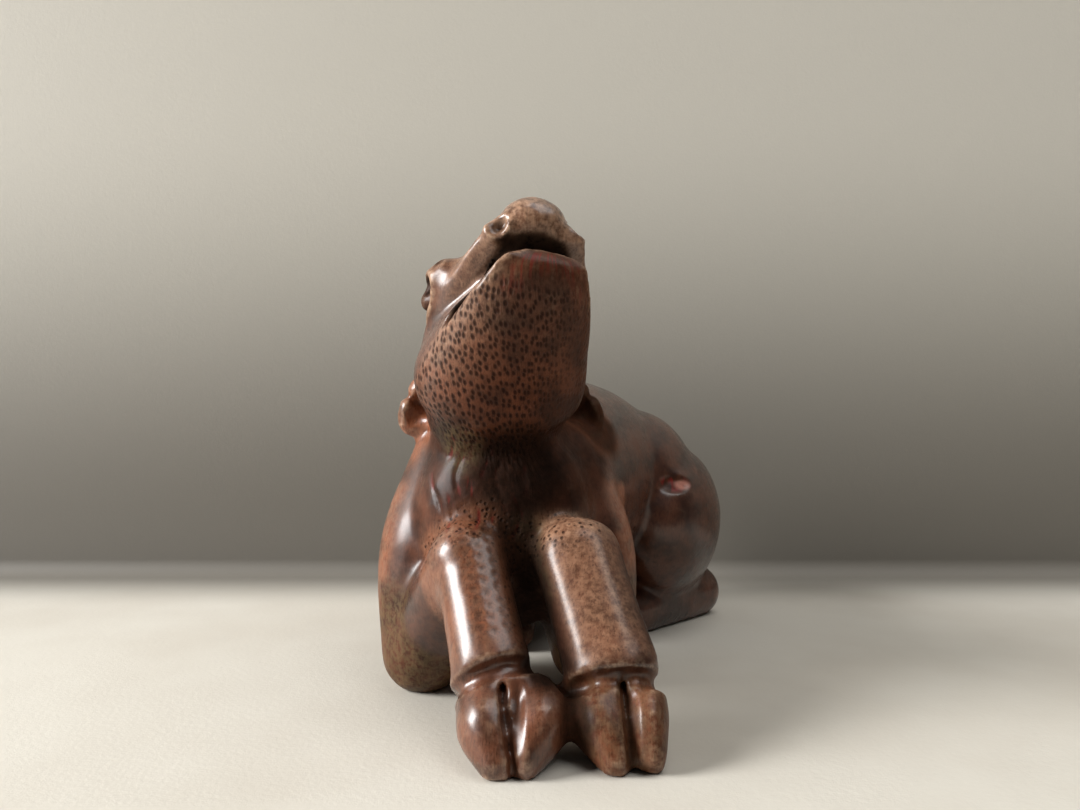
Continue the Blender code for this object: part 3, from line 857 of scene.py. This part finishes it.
@dataclass
class Nose:
    """The nose's curled nostrils and rough tip."""

    forward: float = 15.1 * MM
    spread: float = 11.2 * MM
    drop: float = 6.7 * MM
    curl: float = 1.7 * MM
    curl_height: float = 0.3 * MM
    curl_width: float = 0.45 * MM
    nostril_depth: float = 0.5 * MM
    nostril_width: float = 0.7 * MM
    nostril_dark: float = 0.85 * MM
    tip_band: Band = (11 * MM, 14 * MM)
    lip_band: Band = (-10.5 * MM, -9 * MM)
    tan_band: Band = (-2 * MM, 10 * MM)
    rubbed_band: Band = (9 * MM, 17 * MM)
    bump_size: float = 1.3 * MM
    bump_height: float = 0.1 * MM

    def away(self, side: Side, skin: Skin) -> np.ndarray:
        """How far each place is from a nostril.

        Args:
            side: The side of the head.
            skin: The deer's skin.

        Returns:
            The distances, in metres.
        """
        forward, right, upward = HEAD.split(skin.places)
        level = np.hypot(forward - self.forward, side.value * right - self.spread / 2)
        return np.hypot(level, upward + self.drop)

    def carve(self, skin: Skin) -> None:
        """Raises a curl round each nostril and roughens the tip.

        Args:
            skin: The deer's skin.
        """
        forward = HEAD.split(skin.places)[0]
        tip = rise(forward, *self.tip_band)
        depth = -self.bump_height * tip * skin.cloud(self.bump_size)
        for side in Side:
            away = self.away(side, skin)
            depth -= self.curl_height * bell(away - self.curl, self.curl_width)
            depth += self.nostril_depth * bell(away, self.nostril_width)
        skin.press(depth)

    def stain(self, skin: Skin) -> None:
        """Marks the curls, pale with wear and a painted highlight, the nostrils dark with painted
        shade, and the tan muzzle.

        Args:
            skin: The deer's skin.
        """
        forward, _, upward = HEAD.split(skin.places)
        above = rise(upward, *self.lip_band)
        skin.mark(Mark.TAN, 0.75 * above * rise(forward, *self.tan_band))
        skin.mark(Mark.RIDGE, 0.35 * above * rise(forward, *self.rubbed_band))
        for side in Side:
            away = self.away(side, skin)
            # The curl pale with wear and a painted highlight; the nostril dark with painted shade.
            skin.mark(Mark.RIDGE, 0.9 * bell(away - self.curl, 0.5 * self.curl_width))
            skin.mark(Mark.SOOT_AND_SHADE, bell(away, self.nostril_dark))


@dataclass
class Ear:
    """A laid-back ear with a nick across its rim."""

    root: Vector
    tip: Vector
    # How far the ear is darkened with painted shade: the ear away from the window.
    stained: float
    reach: float = 8.5 * MM
    nick_place: float = 0.62
    nick_depth: float = 0.7 * MM
    nick_width: float = 0.8 * MM

    def along(self, skin: Skin) -> tuple[np.ndarray, np.ndarray]:
        """The share of the ear's length at each place, and how far it is from the ear's line.

        Args:
            skin: The deer's skin.

        Returns:
            The shares and the distances.
        """
        way = np.array(self.tip - self.root)
        away = skin.places - np.array(self.root)
        share = away @ way / (way @ way)
        off = np.linalg.norm(away - np.clip(share, 0, 1)[:, None] * way, axis=1)
        return share, off

    def carve(self, skin: Skin) -> None:
        """Cuts the nick.

        Args:
            skin: The deer's skin.
        """
        share, off = self.along(skin)
        length = (self.tip - self.root).length
        near = rise(off, 0.7 * self.reach, 0.4 * self.reach)
        away = (share - self.nick_place) * length
        skin.press(self.nick_depth * near * bell(away, self.nick_width))

    def stain(self, skin: Skin) -> None:
        """Marks the ear as rubbed orange-brown, darkened with painted shade as far as stained says,
        and painted shade in the fold at its root.

        Args:
            skin: The deer's skin.
        """
        share, off = self.along(skin)
        near = rise(off, 0.9 * self.reach, 0.5 * self.reach)
        near = near * rise(share, -0.1, 0.2)
        skin.mark(Mark.EMBER, 0.6 * near)
        skin.mark(Mark.TAN, 0.45 * near)
        skin.mark(Mark.SOOT_AND_SHADE, self.stained * near)
        skin.mark(Mark.MATTE, (0.3 + 0.7 * self.stained) * near)
        # Painted shade in the fold between the ear's root and the neck.
        skin.mark(Mark.SOOT_AND_SHADE, 0.9 * near * rise(share, 0.35, 0.0))


def round_line(skin: Skin, top: Vector, foot: Vector) -> tuple[np.ndarray, ...]:
    """Measures each place from a line down the carving.

    Args:
        skin: The skin.
        top: Where the line starts.
        foot: Where it ends.

    Returns:
        How far each place is down the line, in front of it, and to the deer's left of it.
    """
    down = (foot - top).normalized()
    front = (Vector((0.0, -1.0, 0.0)) - down * -down.y).normalized()
    away = skin.places - np.array(top)
    return tuple(away @ np.array(axis) for axis in (down, front, front.cross(down)))


@dataclass
class Throat:
    """The throat, pitted in rows that spread from the chin and run down the neck."""

    chin: Vector = HEAD.at(14.0 * MM, 0.0, -10.5 * MM)
    foot: Vector = BENCH.at(-6.9, -4.0, 38.0)
    row: float = 1.22 * MM
    columns: float = 14.5
    top: float = 0.8 * MM
    length: float = 31 * MM
    bulge: float = 4 * MM
    laid_reach: float = 22 * MM
    laid_drop: float = 8 * MM
    end_fade: float = 5 * MM
    under_band: Band = (9.8 * MM, 11.5 * MM)
    reach_band: Band = (20 * MM, 17 * MM)
    round_band: Band = (2.5, 2.0)
    pitted_band: Band = (-1.0, -0.2)
    lit_band: Band = (0.0, 1.0)
    matte_band: Band = (0.1, 1.0)
    tan_band: Band = (28 * MM, 6 * MM)
    lit_side_round: Band = (0.4, 1.2)
    rubbed_band: Band = (24 * MM, 10 * MM)
    under_shade_start: Band = (20 * MM, 28 * MM)
    under_shade_end: Band = (40 * MM, 33 * MM)
    ember_place: float = 20 * MM
    ember_width: float = 9 * MM
    dirt_reach: tuple[float, float, float] = (5 * MM, 5 * MM, 5 * MM)
    dirt: Vector = BENCH.at(-11.5, -11.0, 37.0)

    def chart(self, skin: Skin) -> tuple[np.ndarray, np.ndarray, np.ndarray]:
        """How far below the chin each place is, its angle round the throat, and how far out.

        Args:
            skin: The deer's skin.

        Returns:
            The three measures of each place.
        """
        below, ahead, across = round_line(skin, self.chin, self.foot)
        ahead = ahead + self.bulge
        return below, np.arctan2(-across, ahead), np.hypot(across, ahead)

    def stain(self, skin: Skin) -> None:
        """Marks the rows of pits, where the throat is tan, paler on the window side as painted
        light, where it is dusty, and painted shade on its underside.

        Args:
            skin: The deer's skin.
        """
        below, angle, radius = self.chart(skin)
        upward = HEAD.split(skin.places)[2]
        under = rise(-upward, *self.under_band)
        reach = rise(below, self.top, self.top + 3 * MM)
        reach = reach * rise(below, self.length, self.length - self.end_fade)
        around = rise(radius, *self.reach_band) * rise(np.abs(angle), *self.round_band)
        mask = under * reach * around * (0.3 + 0.7 * rise(angle, *self.pitted_band))
        rows = below / self.row
        laid = (-upward > self.laid_drop) & (radius < self.laid_reach)
        laid = laid & (below < self.length + 3 * MM)
        across, _, height = skin.places.T / self.row
        skin.lie[:, 0] = np.where(laid, angle * self.columns + 0.5 * rows, across)
        skin.lie[:, 1] = np.where(laid, rows, height)
        skin.mark(Mark.PITTED, mask)
        # Painted light: the tan is stronger on the window side.
        lit = 0.1 + 0.85 * rise(angle, *self.lit_band)
        skin.mark(Mark.MATTE, under * around * (1 - rise(angle, *self.matte_band)))
        skin.mark(Mark.TAN, lit * under * around * rise(below, *self.tan_band))
        # Pale rubbed tone on the window side: partly wear, partly painted highlight.
        rubbed = rise(angle, *self.lit_side_round) * rise(below, *self.rubbed_band)
        skin.mark(Mark.RIDGE, 0.45 * mask * rubbed)
        # Painted shade on the throat's underside.
        low = rise(below, *self.under_shade_start) * rise(below, *self.under_shade_end)
        skin.mark(Mark.SOOT_AND_SHADE, 0.5 * around * under * low)
        skin.mark(Mark.EMBER, 0.3 * mask * bell(below - self.ember_place, self.ember_width))
        skin.mark(Mark.DUST, 0.75 * skin.around(self.dirt, self.dirt_reach))


@dataclass
class Limb:
    """A stretch of a foreleg, measured from the line down its middle."""

    top: Vector
    foot: Vector
    reach: float

    def chart(self, skin: Skin) -> tuple[np.ndarray, np.ndarray, np.ndarray]:
        """How far below the top each place is, its angle round the limb, and how far out."""
        below, ahead, across = round_line(skin, self.top, self.foot)
        return below, np.arctan2(across, ahead), np.hypot(across, ahead)

    def near(self, skin: Skin, before: float, after: float) -> np.ndarray:
        """Where the skin is the limb's, from a distance before its top to one after its foot.

        Args:
            skin: The deer's skin.
            before: How far above the top it starts, in metres.
            after: How far past the foot it ends.

        Returns:
            1 on it, falling to 0 outside.
        """
        below, _, radius = self.chart(skin)
        length = (self.foot - self.top).length
        span = rise(below, -before - MM, -before + MM)
        span = span * rise(below, length + after + MM, length + after - MM)
        return span * rise(radius, self.reach, 0.85 * self.reach)


@dataclass
class RightCannon(Limb):
    """The deer's right cannon, with columns of stamped ovals down its front."""

    top: Vector = BENCH.at(-9.8, -13.0, 21.8)
    foot: Vector = BENCH.at(-6.2, -22.5, 10.0)
    reach: float = 8.0 * MM
    radius: float = 5.2 * MM
    row: float = 1.75 * MM
    column: float = math.radians(20)
    first: float = math.radians(5)
    columns: int = 3
    oval: float = 0.7 * MM
    depth: float = 0.16 * MM
    start: float = 3.5 * MM
    clear: float = 2 * MM
    knee_band: Band = (2 * MM, -2 * MM)
    outer_band: Band = (0.7, 1.0)
    dark_band: Band = (0.4, 0.9)

    def stamps(self, skin: Skin) -> np.ndarray:
        """1 in the middle of a stamped oval and 0 outside.

        Args:
            skin: The deer's skin.

        Returns:
            One number per place.
        """
        below, angle, radius = self.chart(skin)
        stamped = np.zeros(len(below))
        length = (self.foot - self.top).length
        for column in range(self.columns):
            middle = self.first + column * self.column
            shift = 0.5 * (column % 2)
            row = np.round(below / self.row - shift) + shift
            up = (below - row * self.row) / (0.8 * self.oval)
            across = (angle - middle) * self.radius / self.oval
            within = (row * self.row > -self.start) & (row * self.row < length - self.clear)
            size = 1 - 0.15 * column
            stamped = np.maximum(stamped, within * bell(np.hypot(up, across), size))
        return stamped * rise(radius, self.reach, 0.85 * self.reach)

    def carve(self, skin: Skin) -> None:
        """Presses the ovals in."""
        skin.press(self.depth * self.stamps(skin))

    def stain(self, skin: Skin) -> None:
        """Marks the ovals dark with soot and painted shade, and the knee and the outer side as
        dotted.

        Args:
            skin: The deer's skin.
        """
        below, angle, _ = self.chart(skin)
        near = self.near(skin, 6 * MM, 0.0)
        stamps = self.stamps(skin)
        # The ovals' middles dark with soot and painted shade in the pressed recesses.
        skin.mark(Mark.SOOT_AND_SHADE, 0.4 * rise(stamps, *self.dark_band))
        skin.mark(Mark.EMBER, 0.6 * bell(stamps - 0.25, 0.14) * near)
        skin.mark(Mark.TAN, 0.4 * near)
        skin.mark(Mark.DOTTED, near * rise(below, *self.knee_band))
        skin.mark(Mark.DOTTED, 0.7 * near * rise(angle, *self.outer_band))
        skin.mark(Mark.EMBER, 0.25 * near)


@dataclass
class LeftCannon(Limb):
    """The deer's left cannon, with two long ridges down its front."""

    top: Vector = BENCH.at(5.0, -13.0, 22.4)
    foot: Vector = BENCH.at(9.1, -23.0, 9.4)
    reach: float = 8.8 * MM
    ridge_angle: float = math.radians(36)
    ridge_height: float = 0.12 * MM
    shade_angle: float = -1.25
    dust_angle: float = -1.05
    front_angle: float = 0.15
    front_band: Band = (1.3, 0.7)
    knee_band: Band = (3 * MM, -2 * MM)
    dotted_band: Band = (3 * MM, -1 * MM)
    shade_band: Band = (2 * MM, 7 * MM)
    dust_band: Band = (9 * MM, 2 * MM)

    def carve(self, skin: Skin) -> None:
        """Raises the ridges and flattens the front between them.

        Args:
            skin: The deer's skin.
        """
        angle = self.chart(skin)[1]
        near = self.near(skin, 0.0, -2 * MM)
        ridges = bell(np.abs(angle) - self.ridge_angle, 0.2)
        skin.press(near * self.ridge_height * (0.7 * bell(angle, 0.35) - ridges))

    def stain(self, skin: Skin) -> None:
        """Marks the rubbed ridges, the tan front, and the inner side, dusty and darkened with
        painted shade.

        Args:
            skin: The deer's skin.
        """
        below, angle, _ = self.chart(skin)
        near = self.near(skin, 6 * MM, 0.0)
        skin.mark(Mark.RIDGE, 0.25 * near * bell(np.abs(angle) - self.ridge_angle, 0.1))
        ahead = rise(np.abs(angle - self.front_angle), *self.front_band)
        skin.mark(Mark.TAN, 0.6 * near * ahead)
        skin.mark(Mark.TAN, 0.9 * near * rise(below, *self.knee_band))
        skin.mark(Mark.MATTE, 0.6 * near)
        skin.mark(Mark.DOTTED, near * rise(below, *self.dotted_band))
        # Painted shade down the inner side, which faces away from the window.
        inner_shade = bell(angle - self.shade_angle, 0.5) * rise(below, *self.shade_band)
        dusty = bell(angle - self.dust_angle, 0.2) * rise(below, *self.dust_band)
        skin.mark(Mark.SOOT_AND_SHADE, 0.85 * near * inner_shade)
        skin.mark(Mark.DUST, 0.6 * near * dusty)


@dataclass
class UpperArm(Limb):
    """An upper arm, hatched towards the elbow."""

    reach: float = 10 * MM
    hatched_band: Band = (8 * MM, 14 * MM)
    matte_band: Band = (10 * MM, 18 * MM)
    dust_band: Band = (12 * MM, 19 * MM)
    worn_edge_sheen_band: Band = (20 * MM, 10 * MM)
    worn_edge_sheen_sides: Band = (0.5, 1.2)

    def stain(self, skin: Skin) -> None:
        """Marks the hatched elbow, and the red, pale-edged sides of the shoulder: partly edge wear,
        partly painted highlight.

        Args:
            skin: The deer's skin.
        """
        below, angle, _ = self.chart(skin)
        near = self.near(skin, 0.0, 8 * MM)
        skin.mark(Mark.LINED, near * rise(below, *self.hatched_band))
        skin.mark(Mark.MATTE, 0.8 * near * rise(below, *self.matte_band))
        skin.mark(Mark.DUST, 0.45 * near * rise(below, *self.dust_band))
        # The arm's sides red and pale: partly edge wear, partly painted highlight.
        worn_edge_and_sheen = rise(np.abs(angle), *self.worn_edge_sheen_sides) * rise(below, *self.worn_edge_sheen_band)
        skin.mark(Mark.EMBER, 0.85 * near * worn_edge_and_sheen)
        skin.mark(Mark.RIDGE, 0.3 * near * worn_edge_and_sheen)


@dataclass
class Hoof:
    """A fore hoof, lined down its walls, with a split between its toes."""

    place: Vector
    width: float
    matte: float
    length: float = 15 * MM
    height: float = 10 * MM
    toe: float = 1.5 * MM
    rim: float = 0.18 * MM
    rim_place: float = 1.2 * MM
    rim_width: float = 0.4 * MM
    split_width: float = 0.6 * MM

    def near(self, skin: Skin) -> np.ndarray:
        """Where the skin is the hoof's.

        Args:
            skin: The deer's skin.

        Returns:
            1 on it, falling to 0 outside.
        """
        away = skin.places - np.array(self.place)
        within = rise(np.abs(away[:, 0]), 0.6 * self.width, 0.5 * self.width)
        ahead = np.abs(away[:, 1] + self.toe)
        within = within * rise(ahead, 0.6 * self.length, 0.5 * self.length)
        return within * rise(away[:, 2], 1.05 * self.height, 0.85 * self.height)

    def carve(self, skin: Skin) -> None:
        """Raises the edges of the split."""
        across = np.abs(skin.places[:, 0] - self.place.x)
        skin.press(-self.rim * self.near(skin) * bell(across - self.rim_place, self.rim_width))

    def stain(self, skin: Skin) -> None:
        """Marks the lined walls, the split dark with soot and painted shade, and how brown and dull
        the hoof is.

        Args:
            skin: The deer's skin.
        """
        near = self.near(skin)
        across = np.abs(skin.places[:, 0] - self.place.x)
        skin.mark(Mark.LINED, near)
        # The split dark with soot and painted shade.
        skin.mark(Mark.SOOT_AND_SHADE, 0.7 * near * bell(across, self.split_width))
        skin.mark(Mark.EMBER, 0.2 * near)
        skin.mark(Mark.TAN, 0.15 * near)
        skin.mark(Mark.MATTE, self.matte * near)
        skin.mark(Mark.DUST, 0.25 * self.matte * near)


@dataclass
class Chest:
    """The breast between the shoulders, with short streaks cut down it."""

    places: tuple[Vector, ...] = (BENCH.at(-12.0, -11.0, 31.0), BENCH.at(-5.5, -13.0, 30.0))
    dark: Vector = BENCH.at(-2.8, -13.0, 33.5)
    shade_reach: tuple[float, float, float] = (11 * MM, 12 * MM, 10 * MM)
    reach: float = 6.5 * MM
    spacing: float = 1.9 * MM
    sway: float = 0.8 * MM
    sway_length: float = 1.6 * MM
    break_length: float = 1.9 * MM
    stagger: float = 2.5
    depth: float = 0.2 * MM

    def streaks(self, skin: Skin) -> np.ndarray:
        """1 in the middle of a streak and 0 outside.

        Args:
            skin: The deer's skin.

        Returns:
            One number per place.
        """
        near = np.zeros(len(skin.places))
        for place in self.places:
            away = np.linalg.norm((skin.places - np.array(place)) * (1, 1, 0.7), axis=1)
            near = np.maximum(near, rise(away, self.reach, 0.5 * self.reach))
        across, _, height = skin.places.T
        wave = across + self.sway * np.sin(height / self.sway_length)
        turn = height / self.break_length + self.stagger * np.round(wave / self.spacing)
        broken = rise(np.sin(turn), -0.6, 0.2)
        return near * broken * rise(np.cos(2 * math.pi * wave / self.spacing), 0.35, 0.95)

    def carve(self, skin: Skin) -> None:
        """Cuts the streaks."""
        skin.press(self.depth * self.streaks(skin))

    def stain(self, skin: Skin) -> None:
        """Marks the streaks red, and paints shade on the breast under the throat."""
        skin.mark(Mark.BLOOD, 0.8 * self.streaks(skin))
        # Painted shade on the breast under the throat.
        skin.mark(Mark.SOOT_AND_SHADE, 0.95 * skin.around(self.dark, self.shade_reach))


@dataclass
class LegGap:
    """The gap between the forelegs, darkened with painted shade and dark stain."""

    top: Vector = BENCH.at(-3.4, -12.0, 27.0)
    foot: Vector = BENCH.at(0.6, -21.0, 10.0)
    hooves: Vector = BENCH.at(4.2, -28.5, 5.0)
    deep: Vector = BENCH.at(-2.0, -3.0, 14.0)
    reach: tuple[float, float, float] = (4.34 * MM, 12.4 * MM, 6.2 * MM)
    hooves_reach: tuple[float, float, float] = (3 * MM, 9 * MM, 7 * MM)
    deep_reach: tuple[float, float, float] = (9 * MM, 16 * MM, 12 * MM)
    steps: int = 6

    def stain(self, skin: Skin) -> None:
        """Marks the gap, the facing sides of the legs and hooves, and the underside behind them
        dark, with painted shade and dark stain.

        Args:
            skin: The deer's skin.
        """
        # Painted shade, with dark stain, along the gap, between the hooves and under the belly.
        for step in range(self.steps + 1):
            place = self.top.lerp(self.foot, step / self.steps)
            skin.mark(Mark.SOOT_AND_SHADE, 0.95 * skin.around(place, self.reach))
        skin.mark(Mark.SOOT_AND_SHADE, 0.85 * skin.around(self.hooves, self.hooves_reach))
        skin.mark(Mark.SOOT_AND_SHADE, 0.95 * skin.around(self.deep, self.deep_reach))


@dataclass
class Haunch:
    """The thigh on the deer's left, with a splinter lost from it."""

    chip: Vector = BENCH.at(24.8, 23.8, 28.4)
    raw: Vector = BENCH.at(26.4, 24.8, 28.1)
    chip_reach: tuple[float, float, float] = (4.2 * MM, 4.5 * MM, 2.0 * MM)
    raw_reach: tuple[float, float, float] = (2.2 * MM, 3.2 * MM, 1.1 * MM)
    chip_depth: float = 0.5 * MM
    chip_rag: float = 1.1 * MM
    raw_rag: float = 0.8 * MM

    def lost(self, skin: Skin) -> np.ndarray:
        """1 in the middle of the lost splinter and 0 outside."""
        ragged = 1 + 0.35 * skin.cloud(self.chip_rag)
        return np.clip(skin.around(self.chip, self.chip_reach) * ragged, 0, 1)

    def carve(self, skin: Skin) -> None:
        """Takes the splinter out."""
        skin.press(self.chip_depth * self.lost(skin))

    def stain(self, skin: Skin) -> None:
        """Marks the red wood where it was, rawest near its end.

        Args:
            skin: The deer's skin.
        """
        skin.mark(Mark.BLOOD, 0.9 * self.lost(skin))
        skin.mark(Mark.MATTE, self.lost(skin))
        ragged = np.clip(1 + 0.9 * skin.cloud(self.raw_rag), 0, 1)
        skin.mark(Mark.SPLIT, 0.8 * ragged * skin.around(self.raw, self.raw_reach))


@dataclass
class Deer:
    """The whole carving."""

    finish: StainedWood = field(default_factory=StainedWood)
    fineness: float = 0.3 * MM
    triangles: int = 190000
    undulation: float = 0.07 * MM
    swell: float = 6 * MM
    ripple: float = 2.6 * MM
    rubs: int = 24
    fine_rubs: int = 8
    plain_rubs: int = 12
    broad_rubs: int = 60
    plain_band: Band = (0.12 * MM, 0.03 * MM)
    cut_band: Band = (0.05 * MM, 0.22 * MM)
    broad_shade_band: Band = (0.35 * MM, 1.3 * MM)
    edge_band: Band = (0.04 * MM, 0.16 * MM)
    mouth: Mouth = field(default_factory=Mouth)
    nose: Nose = field(default_factory=Nose)
    throat: Throat = field(default_factory=Throat)
    right_cannon: RightCannon = field(default_factory=RightCannon)
    left_cannon: LeftCannon = field(default_factory=LeftCannon)
    chest: Chest = field(default_factory=Chest)
    haunch: Haunch = field(default_factory=Haunch)
    leg_gap: LegGap = field(default_factory=LegGap)

    def __post_init__(self) -> None:
        """Adds the parts that come in pairs."""
        self.eyes = [Eye(side) for side in Side]
        self.ears = [
            Ear(BENCH.at(-14.5, 3.0, 49.0), BENCH.at(-21.0, 3.0, 39.0), 0.0),
            # The deer's left ear, away from the window, is darkened with painted shade.
            Ear(BENCH.at(1.5, 8.0, 47.5), BENCH.at(9.2, 9.0, 39.6), 0.8),
        ]
        self.arms = [
            UpperArm(BENCH.at(-16.0, 3.0, 30.0), BENCH.at(-17.6, -1.0, 5.8)),
            UpperArm(BENCH.at(6.0, 5.0, 30.0), BENCH.at(8.0, 1.0, 5.8)),
        ]
        self.hooves = [
            Hoof(BENCH.at(-2.8, -28.0, 0.0), 14 * MM, 0.0),
            Hoof(BENCH.at(10.7, -27.0, 0.0), 13 * MM, 0.7),
        ]

    def copy_of_solid(self) -> bpy.types.Object:
        """A new object with a copy of the solid's mesh.

        Returns:
            The object.
        """
        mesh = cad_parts[NODE].data.copy()
        mesh.materials.clear()
        return placed("carved_deer", mesh)

    def settle(self, piece: bpy.types.Object) -> None:
        """Makes what the piece's modifiers give into its mesh.

        Args:
            piece: The deer's object.
        """
        bpy.context.view_layer.update()
        graph = bpy.context.evaluated_depsgraph_get()
        mesh = bpy.data.meshes.new_from_object(piece.evaluated_get(graph))
        piece.modifiers.clear()
        piece.data = mesh

    def refine(self, piece: bpy.types.Object) -> None:
        """Makes the skin of even fine faces.

        Args:
            piece: The deer's object.
        """
        fuse = piece.modifiers.new("fuse", "REMESH")
        fuse.mode = "VOXEL"
        fuse.voxel_size = self.fineness
        self.settle(piece)

    def thin(self, piece: bpy.types.Object) -> None:
        """Takes out the faces that the shape needs least.

        Args:
            piece: The deer's object.
        """
        piece.data.calc_loop_triangles()
        count = len(piece.data.loop_triangles)
        if count > self.triangles:
            thin = piece.modifiers.new("thin", "DECIMATE")
            thin.ratio = self.triangles / count
            self.settle(piece)

    def worked(self) -> list:
        """The parts that the knife works on."""
        return [self.mouth, *self.eyes, self.nose, *self.ears, self.right_cannon, self.left_cannon,
                *self.hooves, self.chest, self.haunch]

    def stained(self) -> list:
        """The parts that mark the skin."""
        return [*self.worked(), self.throat, *self.arms, self.leg_gap]

    def broad(self, skin: Skin) -> np.ndarray:
        """Where the skin is plain enough to be rubbed smooth."""
        return rise(np.abs(skin.relief(self.plain_rubs)), *self.plain_band)

    def build(self) -> bpy.types.Object:
        """Copies the solid's skin, works it, thins it and dresses it.

        Returns:
            The finished piece.
        """
        piece = self.copy_of_solid()
        self.refine(piece)
        skin = Skin(piece)
        skin.relax(self.rubs, 0.5 * self.broad(skin))
        skin.press(self.undulation * (skin.cloud(self.swell) + 0.5 * skin.cloud(self.ripple)))
        for part in self.worked():
            part.carve(skin)
        skin.write_places()
        self.refine(piece)
        skin.read()
        skin.relax(1, 0.4)
        skin.write_places()
        self.thin(piece)
        skin.read()
        self.dress(piece, skin)
        return piece

    def dress(self, piece: bpy.types.Object, skin: Skin) -> None:
        """Marks the skin and gives it the wood's finish.

        Args:
            piece: The deer's object.
            skin: Its skin.
        """
        fine, broad = skin.relief(self.fine_rubs), skin.relief(self.broad_rubs)
        # Soot and painted shade in fine cuts, painted shade in broad bays, and pale wear on edges.
        skin.mark(Mark.SOOT_AND_SHADE, rise(fine, *self.cut_band))
        skin.mark(Mark.SOOT_AND_SHADE, 0.8 * rise(broad, *self.broad_shade_band))
        skin.mark(Mark.RIDGE, 0.6 * rise(-fine, *self.edge_band))
        for part in self.stained():
            part.stain(skin)
        skin.write_marks()
        piece.data.shade_smooth()
        piece.data.materials.append(self.finish.material())
        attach(piece, "root")
        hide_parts(NODE)


# Setting


@dataclass
class Studio:
    """A pale board that turns up into a pale wall, lit from a window on the viewer's left."""

    paint: PalePaint = field(default_factory=PalePaint)
    camera_place: Vector = BENCH.at(0.0, -125.0, 42.9)
    lens: float = 27.03
    sensor: float = 36.0
    nearest: float = 5 * MM
    wall: float = BENCH.at(0.0, 80.0, 0.0).y
    half_width: float = 2.0
    depth: float = 1.2
    height: float = 0.9
    flat: float = 0.25
    cove: float = 4 * MM
    cove_steps: int = 12
    window_place: Vector = Vector((-1.30, -0.34, 0.66))
    window_size: float = 0.54
    window_power: float = 42.0
    ceiling_place: Vector = Vector((0.3, -0.15, 0.85))
    ceiling_size: float = 0.6
    ceiling_power: float = 4.6
    lamp_shape: float = 1.3
    sky: Colour = (0.55, 0.55, 0.56)
    sky_strength: float = 0.1
    target: Vector = Vector((0.0, -0.01, 0.03))

    def sheet(self) -> bpy.types.Object:
        """The floor and the wall as one sheet, with a cove between them.

        Returns:
            The sheet's object.
        """
        foot = self.wall - self.cove
        outline = [(-self.depth, 0.0), (-self.flat, 0.0), (foot, 0.0)]
        for step in range(1, self.cove_steps + 1):
            angle = 0.5 * math.pi * step / self.cove_steps
            outline.append((foot + self.cove * math.sin(angle),
                            self.cove - self.cove * math.cos(angle)))
        outline += [(self.wall, self.flat), (self.wall, self.height)]
        ends = (-self.half_width, self.half_width)
        places = [(x, y, z) for y, z in outline for x in ends]
        faces = [(2 * i, 2 * i + 1, 2 * i + 3, 2 * i + 2) for i in range(len(outline) - 1)]
        mesh = bpy.data.meshes.new("board_and_wall")
        mesh.from_pydata(places, [], faces)
        mesh.materials.append(self.paint.material(self.wall))
        mesh.shade_smooth()
        sheet = placed("board_and_wall", mesh)
        return sheet

    def lamp(self, name: str, place: Vector, size: float, power: float) -> bpy.types.Object:
        """A soft light that faces the deer.

        Args:
            name: What the light stands for.
            place: Where it is.
            size: Its width.
            power: Its power in watts.

        Returns:
            The lamp.
        """
        data = bpy.data.lights.new(name, "AREA")
        data.shape = "RECTANGLE"
        data.size = size
        data.size_y = self.lamp_shape * size
        data.energy = power
        lamp = placed(name, data)
        lamp.location = place
        lamp.rotation_euler = (self.target - place).to_track_quat("-Z", "Y").to_euler()
        return lamp

    def room(self) -> None:
        """The pale room's own light."""
        world = bpy.data.worlds.new("room")
        world.use_nodes = True
        background = world.node_tree.nodes["Background"]
        background.inputs["Color"].default_value = (*self.sky, 1.0)
        background.inputs["Strength"].default_value = self.sky_strength
        bpy.context.scene.world = world

    def camera(self) -> bpy.types.Object:
        """The camera, level and close, at the photograph's place.

        Returns:
            The camera's object.
        """
        data = bpy.data.cameras.new("view")
        data.sensor_width = self.sensor
        data.lens = self.lens
        data.clip_start = self.nearest
        camera = placed("view", data)
        camera.location = self.camera_place
        camera.rotation_euler = (math.radians(90), 0.0, 0.0)
        bpy.context.scene.camera = camera
        return camera

    def build(self) -> None:
        """Sets up the floor, the lights and the camera."""
        self.sheet()
        self.lamp("window", self.window_place, self.window_size, self.window_power)
        self.lamp("ceiling", self.ceiling_place, self.ceiling_size, self.ceiling_power)
        self.room()
        self.camera()
        bpy.context.scene.view_settings.view_transform = "Standard"


def main() -> None:
    """Builds the deer and its setting, and reports each."""
    logging.basicConfig(level=logging.INFO, format="%(message)s")
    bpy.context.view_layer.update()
    Studio().build()
    log.info("studio: floor, wall, window light and camera")
    piece = Deer().build()
    log.info("deer: %d faces", len(piece.data.polygons))


if __name__ == "__main__":
    main()
